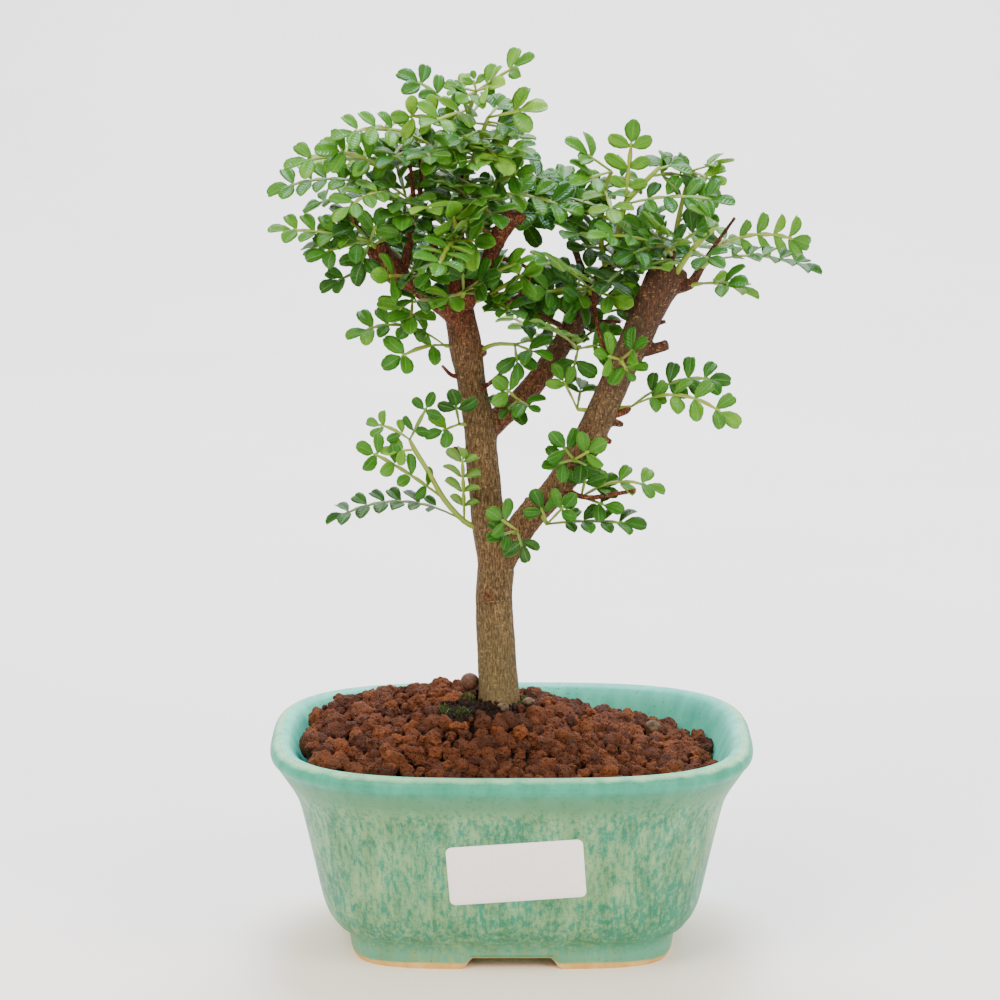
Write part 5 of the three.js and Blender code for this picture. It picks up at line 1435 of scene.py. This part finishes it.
# %% The leaflets' roots
PAIR_LEAN = 60
STEM_AGE = 0.5
SHADE_AGE = 0.8


def leaflet_roots(leaf, place, heading, nodes, end, length):
    _, side, normal = leaf["axes"]
    roots = []
    pitch = nodes[1] - nodes[0] if len(nodes) > 1 else 6 * leaf["size"]
    for k, s in enumerate(nodes):
        for sign in (-1, 1):
            draw = leaf["draws"][(2 * k + (sign > 0)) % DRAWS_PER_LEAF]
            reach = LEAFLET_LENGTH * leaf["size"] * (0.84 if k == 0 and len(nodes) > 2 else 1)
            reach *= 0.9 + 0.16 * draw
            width = min(0.61 * reach, 1.1 * pitch)
            lean = math.radians(PAIR_LEAN + 14 * (draw - 0.5) + 3 * luck.standard_normal())
            direction = math.cos(lean) * heading(s) + math.sin(lean) * (sign * side + FOLD * normal)
            upward = normal - sign * FOLD * side
            roots.append((place(s, sign * 0.3, 0.1), unit(direction), unit(upward), [width, reach, reach]))
    reach = length - end - 0.4
    roots.append((place(end + 0.4, 0, 0.1), heading(end), unit(normal),
                  [min(0.68 * reach, 5.2), reach, reach]))
    return roots


def spray_mesh(name):
    stem, _ = SPRAYS[name]
    rows = as_placed(stem)
    rows[-1][3] *= 0.8
    parts, roots = [tube(rows, 8, 3)], []
    ages = [STEM_AGE] * len(parts[0][0])
    for leaf in LEAVES[name]:
        place, heading, nodes, end, length = leaf_places(leaf)
        height = (leaf["base"][2] + leaf["tip"][2]) / 2
        age = 0.28 + 0.06 * smooth_step(height, 135, 165) + 0.29 * smooth_step(height, 185, 232)
        age += 0.17 * luck.standard_normal()
        if leaf.get("shade"):
            age *= SHADE_AGE
        parts.append(rib(place, nodes, end, leaf["size"]))
        ages += [age] * len(parts[-1][0])
        for root in leaflet_roots(leaf, place, heading, nodes, end, length):
            roots.append((*root, age + 0.08 * luck.standard_normal()))
    points, faces = gather(parts)
    blank = np.zeros((len(points), 3))
    return points + [root[0] for root in roots], faces, {
        "root": [0] * len(points) + [1] * len(roots),
        "direction": np.vstack([blank, [root[1] for root in roots]]),
        "upward": np.vstack([blank, [root[2] for root in roots]]),
        "size": np.vstack([blank, [root[3] for root in roots]]),
        "age": np.clip(ages + [root[4] for root in roots], 0, 1)}


print("leaves to draw", sum(len(leaves) for leaves in LEAVES.values()))

# %% [markdown]
# A Geometry Nodes tree parts the loose roots from the stem and ribs, puts the leaflet on every root, turns it
# by the root's two directions, gives it a twist of its own, makes it real and ruffles it with a noise of
# 5 mm, so that no two are alike. Copies made in Python would do too, but here the twist and the ruffle stay
# inputs with names that can be tried out.

# %% Leaflets by Geometry Nodes
leafing, given, result = geometry_tree("leaflets on roots", {
    "Leaflet": "NodeSocketObject", "Twist": "NodeSocketFloat", "Ruffle": "NodeSocketFloat",
    "Seed": "NodeSocketInt", "Blade": "NodeSocketMaterial", "Stem": "NodeSocketMaterial"})
named = {}
for label, kind in (("root", "FLOAT"), ("direction", "FLOAT_VECTOR"), ("upward", "FLOAT_VECTOR"),
                    ("size", "FLOAT_VECTOR")):
    named[label] = add(leafing, "GeometryNodeInputNamedAttribute", {"Name": label}, data_type=kind)
split = add(leafing, "GeometryNodeSeparateGeometry", {
    "Geometry": given.outputs["Geometry"], "Selection": named["root"]}, domain="POINT")
one = add(leafing, "GeometryNodeObjectInfo", {"Object": given.outputs["Leaflet"]})
turn = add(leafing, "FunctionNodeAxesToRotation", {
    "Primary Axis": named["direction"], "Secondary Axis": named["upward"]},
    primary_axis="Y", secondary_axis="Z")
chance = add(leafing, "FunctionNodeRandomValue", {2: -1.0, 3: 1.0, "Seed": given.outputs["Seed"]},
             data_type="FLOAT")
angle = add(leafing, "ShaderNodeMath", {0: chance.outputs[1], 1: given.outputs["Twist"]},
            operation="MULTIPLY")
twist = add(leafing, "FunctionNodeAxisAngleToRotation", {"Axis": (0, 1, 0), "Angle": angle})
turn = add(leafing, "FunctionNodeRotateRotation", {"Rotation": turn, "Rotate By": twist},
           rotation_space="LOCAL")
placed = add(leafing, "GeometryNodeInstanceOnPoints", {
    "Points": split.outputs["Selection"], "Instance": one.outputs["Geometry"], "Rotation": turn,
    "Scale": named["size"]})
real = add(leafing, "GeometryNodeRealizeInstances", {"Geometry": placed})
wave = add(leafing, "ShaderNodeTexNoise", {"Scale": 190.0, "Detail": 1.0})
swing = add(leafing, "ShaderNodeVectorMath", {0: wave.outputs["Color"], 1: (0.5, 0.5, 0.5)},
            operation="SUBTRACT")
offset = add(leafing, "ShaderNodeVectorMath", {0: swing, 3: given.outputs["Ruffle"]}, operation="SCALE")
ruffled = add(leafing, "GeometryNodeSetPosition", {"Geometry": real, "Offset": offset})
blades = add(leafing, "GeometryNodeSetMaterial", {"Geometry": ruffled, "Material": given.outputs["Blade"]})
stems = add(leafing, "GeometryNodeSetMaterial", {
    "Geometry": split.outputs["Inverted"], "Material": given.outputs["Stem"]})
joined = add(leafing, "GeometryNodeJoinGeometry", {"Geometry": blades})
leafing.links.new(stems.outputs[0], joined.inputs[0])
leafing.links.new(joined.outputs[0], result.inputs[0])
print("leaflet nodes", len(leafing.nodes))

# %% [markdown]
# A leaf is a thin wet sheet under a waxy skin. The skin gives the bluish sheen, so the roughness is moderate
# and the IOR that of wax. The sheet lets light through, warmer than it reflects it, hence a quarter of
# translucent shading. Young leaves are yellow-green, old ones bottle green. The pale rim and midrib are
# 0.25 mm wide, and seven pairs of side veins leave the midrib at a slant.

# %% The leaf's blade
blade, tree, shader, where = new_material("waxy evergreen leaf", {
    "IOR": 1.42, "Roughness": 0.3, "Specular IOR Level": 0.35})
age, across, along, under = (add(tree, "ShaderNodeAttribute", attribute_name=name).outputs["Fac"]
                             for name in ("age", "across", "along", "under"))
patches = add(tree, "ShaderNodeTexNoise", {"Vector": where, "Scale": 320.0, "Detail": 3.0})
shifted = add(tree, "ShaderNodeMath", {0: patches, 1: 0.4, 2: -0.2}, operation="MULTIPLY_ADD")
aged = add(tree, "ShaderNodeMath", {0: age, 1: shifted}, operation="ADD")
green = add(tree, "ShaderNodeValToRGB", {0: aged}, stops=[
    (0.0, "#16430A"), (0.35, "#2C6C12"), (0.65, "#538F20"), (1.0, "#94C33E")])
from_rib = add(tree, "ShaderNodeMath", {0: across}, operation="ABSOLUTE")
rib_mask = add(tree, "ShaderNodeMapRange", {0: from_rib, 1: 0.1, 2: 0.02, 4: 0.35})
rim_mask = add(tree, "ShaderNodeMapRange", {0: from_rib, 1: 0.88, 2: 0.98, 4: 0.5})
slant = add(tree, "ShaderNodeMath", {0: from_rib, 1: -0.22, 2: along}, operation="MULTIPLY_ADD")
count = add(tree, "ShaderNodeMath", {0: slant, 1: 44.0}, operation="MULTIPLY")
vein_wave = add(tree, "ShaderNodeMath", {0: count}, operation="SINE")
vein_mask = add(tree, "ShaderNodeMapRange", {0: vein_wave, 1: 0.75, 2: 1.0, 4: 0.08})
pale = add(tree, "ShaderNodeMath", {0: rib_mask, 1: rim_mask}, operation="MAXIMUM")
pale = add(tree, "ShaderNodeMath", {0: pale, 1: vein_mask}, operation="MAXIMUM")
veined = add(tree, "ShaderNodeMix", {0: pale, 6: green, 7: linear("#8FC060")}, data_type="RGBA")
back_share = add(tree, "ShaderNodeMath", {0: under, 1: 0.55}, operation="MULTIPLY")
both_sides = add(tree, "ShaderNodeMix", {0: back_share, 6: veined.outputs[2], 7: linear("#7BA045")},
                 data_type="RGBA")
through = add(tree, "ShaderNodeMix", {0: 0.6, 6: both_sides.outputs[2], 7: linear("#A6CC2E")},
              data_type="RGBA")
relief = add(tree, "ShaderNodeMath", {0: vein_wave, 1: 0.5, 2: rib_mask}, operation="MULTIPLY_ADD")
swell = add(tree, "ShaderNodeTexNoise", {"Vector": where, "Scale": 650.0, "Detail": 1.0})
relief = add(tree, "ShaderNodeMath", {0: swell, 1: 2.4, 2: relief}, operation="MULTIPLY_ADD")
bump = add(tree, "ShaderNodeBump", {"Height": relief, "Strength": 0.4, "Distance": 0.00016}, invert=True)
glow = add(tree, "ShaderNodeBsdfTranslucent", {"Color": through.outputs[2]})
sheet = add(tree, "ShaderNodeMixShader", {0: 0.25, 1: shader.outputs[0], 2: glow})
connect(tree, shader, {"Base Color": both_sides.outputs[2], "Normal": bump})
connect(tree, tree.nodes["Material Output"], {"Surface": sheet})
print("leaf nodes", len(tree.nodes))

# %% [markdown]
# The stems and ribs are this year's wood, still green: yellow-green where young, with reddish patches of
# 4 mm where cork begins. With it, every spray is built and fixed to the root, its solid is hidden, and its
# triangles are counted.

# %% Green stems and the finished sprays
green_stem, tree, shader, where = new_material("young green stem", {"IOR": 1.45, "Roughness": 0.45})
age = add(tree, "ShaderNodeAttribute", attribute_name="age").outputs["Fac"]
joints = add(tree, "ShaderNodeTexNoise", {"Vector": where, "Scale": 260.0, "Detail": 2.0})
fresh = add(tree, "ShaderNodeValToRGB", {0: age}, stops=[(0.1, "#557A26"), (0.9, "#93A430")])
reddish = add(tree, "ShaderNodeMapRange", {0: joints, 1: 0.58, 2: 0.72, 4: 0.6})
tone = add(tree, "ShaderNodeMix", {0: reddish, 6: fresh, 7: linear("#8A5A34")}, data_type="RGBA")
bump = add(tree, "ShaderNodeBump", {"Height": joints, "Strength": 0.3, "Distance": 0.0002})
connect(tree, shader, {"Base Color": tone.outputs[2], "Normal": bump})
TWIST, RUFFLE = math.radians(20), 1.3 * MM
total = 0
for number, name in enumerate(SPRAYS):
    spray = make_object("leaves_" + name, *spray_mesh(name))
    apply_tree(spray, leafing, {"Leaflet": leaflet, "Twist": TWIST, "Ruffle": RUFFLE, "Seed": number,
                                "Blade": blade, "Stem": green_stem})
    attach(spray, "root")
    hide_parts(name)
    total += triangles(spray)
bpy.data.objects.remove(leaflet)
print("leaf triangles", total)

# %% [markdown]
# Small things lie on the heap: a smooth round fertiliser pellet and a few grey stones among the clay. Each is
# a ball pushed into shape by six slow waves that run through it, flattened as stones are. Waves of sine are
# smoother than a noise, which suits things that were rolled.

# %% Stones and pellet
WAVES = 6


def pebble(name, across, up, depth, radius, flat, lump, seed):
    work = bmesh.new()
    bmesh.ops.create_icosphere(work, subdivisions=4, radius=1)
    shape_luck = np.random.default_rng(seed)
    waves = shape_luck.uniform(1.2, 3.4, (WAVES, 3)) * shape_luck.choice([-1, 1], (WAVES, 3))
    phases = shape_luck.uniform(0, 6.28, WAVES)
    middle = seen([across, up, depth])
    points = []
    for vertex in work.verts:
        direction = np.array(vertex.co)
        swell = 1 + lump * np.sin(waves @ direction + phases).sum() / WAVES
        points.append(middle + radius * swell * direction * np.array([1, 0.9, flat]))
    faces = [[vertex.index for vertex in face.verts] for face in work.faces]
    work.free()
    return make_object(name, points, faces)


# pumice grit is about 1 mm wide, the pellet's pressed crumbs 0.7 mm
stone = grainy_material(
    "weathered grey pumice", {"Roughness": 0.9, "IOR": 1.5, "Specular IOR Level": 0.3},
    {"Scale": 900.0, "Detail": 5.0, "Roughness": 0.7},
    [(0.3, "#3A2C23"), (0.55, "#61503F"), (0.75, "#85725A")], {"Strength": 0.8, "Distance": 0.0004})
pressed = grainy_material(
    "pressed organic fertiliser", {"Roughness": 0.7, "IOR": 1.45}, {"Scale": 1500.0, "Detail": 4.0},
    [(0.35, "#3E2416"), (0.65, "#5E3A24")], {"Strength": 0.4, "Distance": 0.0002})
# name, across, up, depth, radius, flatness, lumpiness, material
PEBBLES = [
    ("pellet", -11.2, 71, 1, 2.5, 0.95, 0.03, pressed),
    ("stone_back_left", -36, 67, 22, 2, 0.55, 0.4, stone),
    ("stone_left", -41, 63, 18, 1.9, 0.45, 0.4, stone),
    ("stone_right", 38, 58.6, 13, 2, 0.8, 0.4, stone),
    ("stone_front", -2, 64, -9, 1.5, 0.8, 0.4, stone),
    ("stone_trunk", 4.6, 65.6, -5, 1.6, 0.6, 0.3, stone),
]
for seed, (name, across, up, depth, radius, flat, lump, material) in enumerate(PEBBLES):
    piece = pebble(name, across, up, depth, radius, flat, lump, seed)
    piece.data.materials.append(material)
    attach(piece, "root")
    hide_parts("soil")
print("pebbles", len(PEBBLES))

# %% [markdown]
# Moss grows on the moist ground at both sides of the trunk. Hair curves would be lost in the export, so each
# moss blade is a small real cone: a Geometry Nodes tree sets one with three sides on every point of a patch,
# 0.24 mm apart, leaning at random. At 0.9 by 0.2 mm the blades are a little coarser than in life, to show.

# %% Moss by Geometry Nodes
mossing, given, result = geometry_tree("moss blades", {
    "Spacing": "NodeSocketFloat", "Blade Length": "NodeSocketFloat", "Blade Width": "NodeSocketFloat",
    "Lean": "NodeSocketFloat", "Seed": "NodeSocketInt", "Material": "NodeSocketMaterial"})
spots = add(mossing, "GeometryNodeDistributePointsOnFaces", {
    "Mesh": given.outputs["Geometry"], "Distance Min": given.outputs["Spacing"], "Density Max": 9e6,
    "Seed": given.outputs["Seed"]}, distribute_method="POISSON")
cone = add(mossing, "GeometryNodeMeshCone", {
    "Vertices": 3, "Side Segments": 2, "Radius Top": 0.0, "Radius Bottom": given.outputs["Blade Width"],
    "Depth": given.outputs["Blade Length"]})
back = add(mossing, "ShaderNodeMath", {0: given.outputs["Lean"], 1: -1.0}, operation="MULTIPLY")
low = add(mossing, "ShaderNodeCombineXYZ", {"X": back, "Y": back})
high = add(mossing, "ShaderNodeCombineXYZ", {
    "X": given.outputs["Lean"], "Y": given.outputs["Lean"], "Z": 6.283})
turn = add(mossing, "FunctionNodeRandomValue", {0: low, 1: high, "Seed": given.outputs["Seed"]},
           data_type="FLOAT_VECTOR")
size = add(mossing, "FunctionNodeRandomValue", {2: 0.5, 3: 1.2, 8: 3}, data_type="FLOAT")
placed = add(mossing, "GeometryNodeInstanceOnPoints", {
    "Points": spots.outputs["Points"], "Instance": cone.outputs["Mesh"], "Rotation": turn.outputs[0],
    "Scale": size.outputs[1]})
tint = add(mossing, "FunctionNodeRandomValue", {2: 0.0, 3: 1.0, 8: 7}, data_type="FLOAT")
tinted = add(mossing, "GeometryNodeStoreNamedAttribute", {
    "Geometry": placed, "Name": "tint", "Value": tint.outputs[1]}, data_type="FLOAT", domain="INSTANCE")
real = add(mossing, "GeometryNodeRealizeInstances", {"Geometry": tinted})
finished = add(mossing, "GeometryNodeSetMaterial", {"Geometry": real, "Material": given.outputs["Material"]})
mossing.links.new(finished.outputs[0], result.inputs[0])
print("moss nodes", len(mossing.nodes))

# %% [markdown]
# A moss patch is an uneven disc: a middle point and three rings of 24, each ring at its own height over the
# mound so that the patch is a low cushion. Its green varies from blade to blade and, over 2 mm, from clump to
# clump. The blades are what is seen; the disc only gives the places.

# %% Moss patches
MOSS_SIDES = 24
MIDDLE_RISE = 0.9
RING_RISES = (1.4, 1.0, -0.6)
UNEVEN_EDGE, UNEVEN_RISE = 0.25, 0.35
moss_green, tree, shader, where = new_material("living cushion moss", {"Roughness": 0.6, "IOR": 1.4})
tint = add(tree, "ShaderNodeAttribute", attribute_name="tint").outputs["Fac"]
clumps = add(tree, "ShaderNodeTexNoise", {"Vector": where, "Scale": 500.0, "Detail": 2.0})
tone_at = add(tree, "ShaderNodeMath", {0: tint, 1: clumps, 2: 0.1}, operation="MULTIPLY_ADD")
tone = add(tree, "ShaderNodeValToRGB", {0: tone_at}, stops=[
    (0.1, "#18240A"), (0.45, "#37490F"), (0.9, "#6C7F20")])
connect(tree, shader, {"Base Color": tone})


def moss_patch(name, x, y, reach_x, reach_y, seed):
    shape_luck = np.random.default_rng(seed)
    edge = 1 + UNEVEN_EDGE * shape_luck.standard_normal(MOSS_SIDES)
    points = [[x, y, mound_height(x, y) + MIDDLE_RISE]]
    for ring, ring_rise in enumerate(RING_RISES, 1):
        for side in range(MOSS_SIDES):
            turn = 2 * math.pi * side / MOSS_SIDES
            px = x + reach_x * ring / 3 * edge[side] * math.cos(turn)
            py = y + reach_y * ring / 3 * edge[side] * math.sin(turn)
            rise = ring_rise + UNEVEN_RISE * shape_luck.standard_normal()
            points.append([px, py, mound_height(px, py) + rise])
    faces = [(0, 1 + side, 1 + (side + 1) % MOSS_SIDES) for side in range(MOSS_SIDES)]
    for first in (1, 1 + MOSS_SIDES):
        for side in range(MOSS_SIDES):
            a, b = first + side, first + (side + 1) % MOSS_SIDES
            faces.append((a, a + MOSS_SIDES, b + MOSS_SIDES, b))
    return make_object(name, points, faces)


# name, x, y, reach across, reach in depth, seed
MOSS = [("moss_pellet", -12, -3.5, 2.6, 1.2, 2), ("moss_left", -18, -9, 1.8, 2.6, 3),
        ("moss_front", -12.5, -11.5, 2.6, 1.3, 8), ("moss_right", 4.4, -2, 2.2, 2.2, 5),
        ("moss_back", -6, 9, 4, 2.4, 6)]
for name, x, y, reach_x, reach_y, seed in MOSS:
    patch = moss_patch(name, x, y, reach_x, reach_y, seed)
    apply_tree(patch, mossing, {"Spacing": 0.24 * MM, "Blade Length": 0.9 * MM, "Blade Width": 0.11 * MM,
                                "Lean": 1.0, "Seed": seed, "Material": moss_green})
    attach(patch, "root")
    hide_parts("soil")
    print(patch.name, "triangles", triangles(patch))

# %% [markdown]
# The studio is plain: one pale sweep of matt paper that lies under the pot and rises far behind it, in one
# curve, so that no edge shows. A plane and a wall would meet in a line.

# %% Floor
SWEEP_REACH = 6000
SWEEP_START = 950
SWEEP_RADIUS = 500
SWEEP_TOP = 2500


def sweep_mesh():
    profile = [(-SWEEP_REACH, 0), (SWEEP_START, 0)]
    profile += [(SWEEP_START + SWEEP_RADIUS * math.sin(turn), SWEEP_RADIUS * (1 - math.cos(turn)))
                for turn in np.linspace(0.1, math.pi / 2, 14)]
    profile += [(SWEEP_START + SWEEP_RADIUS, SWEEP_TOP)]
    points = [[x, y, z] for y, z in profile for x in (-SWEEP_REACH, SWEEP_REACH)]
    faces = [(2 * i, 2 * i + 1, 2 * i + 3, 2 * i + 2) for i in range(len(profile) - 1)]
    return points, faces


floor = make_object("floor", *sweep_mesh())
studio_paper, tree, shader, where = new_material("matt background paper", {"Roughness": 0.85, "IOR": 1.45})
fibre = add(tree, "ShaderNodeTexNoise", {"Vector": where, "Scale": 8.0, "Detail": 4.0})
tone = add(tree, "ShaderNodeValToRGB", {0: fibre}, stops=[(0.3, "#FAF1E5"), (0.7, "#FDF6EC")])
connect(tree, shader, {"Base Color": tone})
floor.data.materials.append(studio_paper)
print("floor triangles", triangles(floor))

# %% [markdown]
# The light is that of a photographer's tent: a large soft disc from the upper left, one nearly as strong
# from the upper right, one from behind that rims the leaves, pale light from all round, so that shadows stay
# soft, and one light aimed at the paper behind the tree.

# %% Light
def soft_light(name, place, power, size, colour, towards=(0, 0, 0.12)):
    data = bpy.data.lights.new(name, "AREA")
    data.energy, data.shape, data.size, data.color = power, "DISK", size, linear(colour)[:3]
    light = bpy.data.objects.new(name, data)
    light.location = place
    light.rotation_euler = (Vector(towards) - Vector(place)).to_track_quat("-Z", "Y").to_euler()
    bpy.context.scene.collection.objects.link(light)


soft_light("key", (-0.6, -0.7, 1.1), 19, 0.9, "#FFF1E0")
soft_light("fill", (0.9, -0.75, 0.85), 15, 0.9, "#FFF6EC")
soft_light("back", (0.2, 0.8, 1.2), 12, 0.8, "#FFFFFF")
soft_light("paper_light", (0, 0.45, 1.6), 50, 0.6, "#C2D6FF", towards=(0, 1, 0.7))
world = bpy.data.worlds.new("studio air")
world.use_nodes = True
air = world.node_tree.nodes["Background"]
air.inputs["Color"].default_value = linear("#ECEBEA")
air.inputs["Strength"].default_value = 0.95
bpy.context.scene.world = world
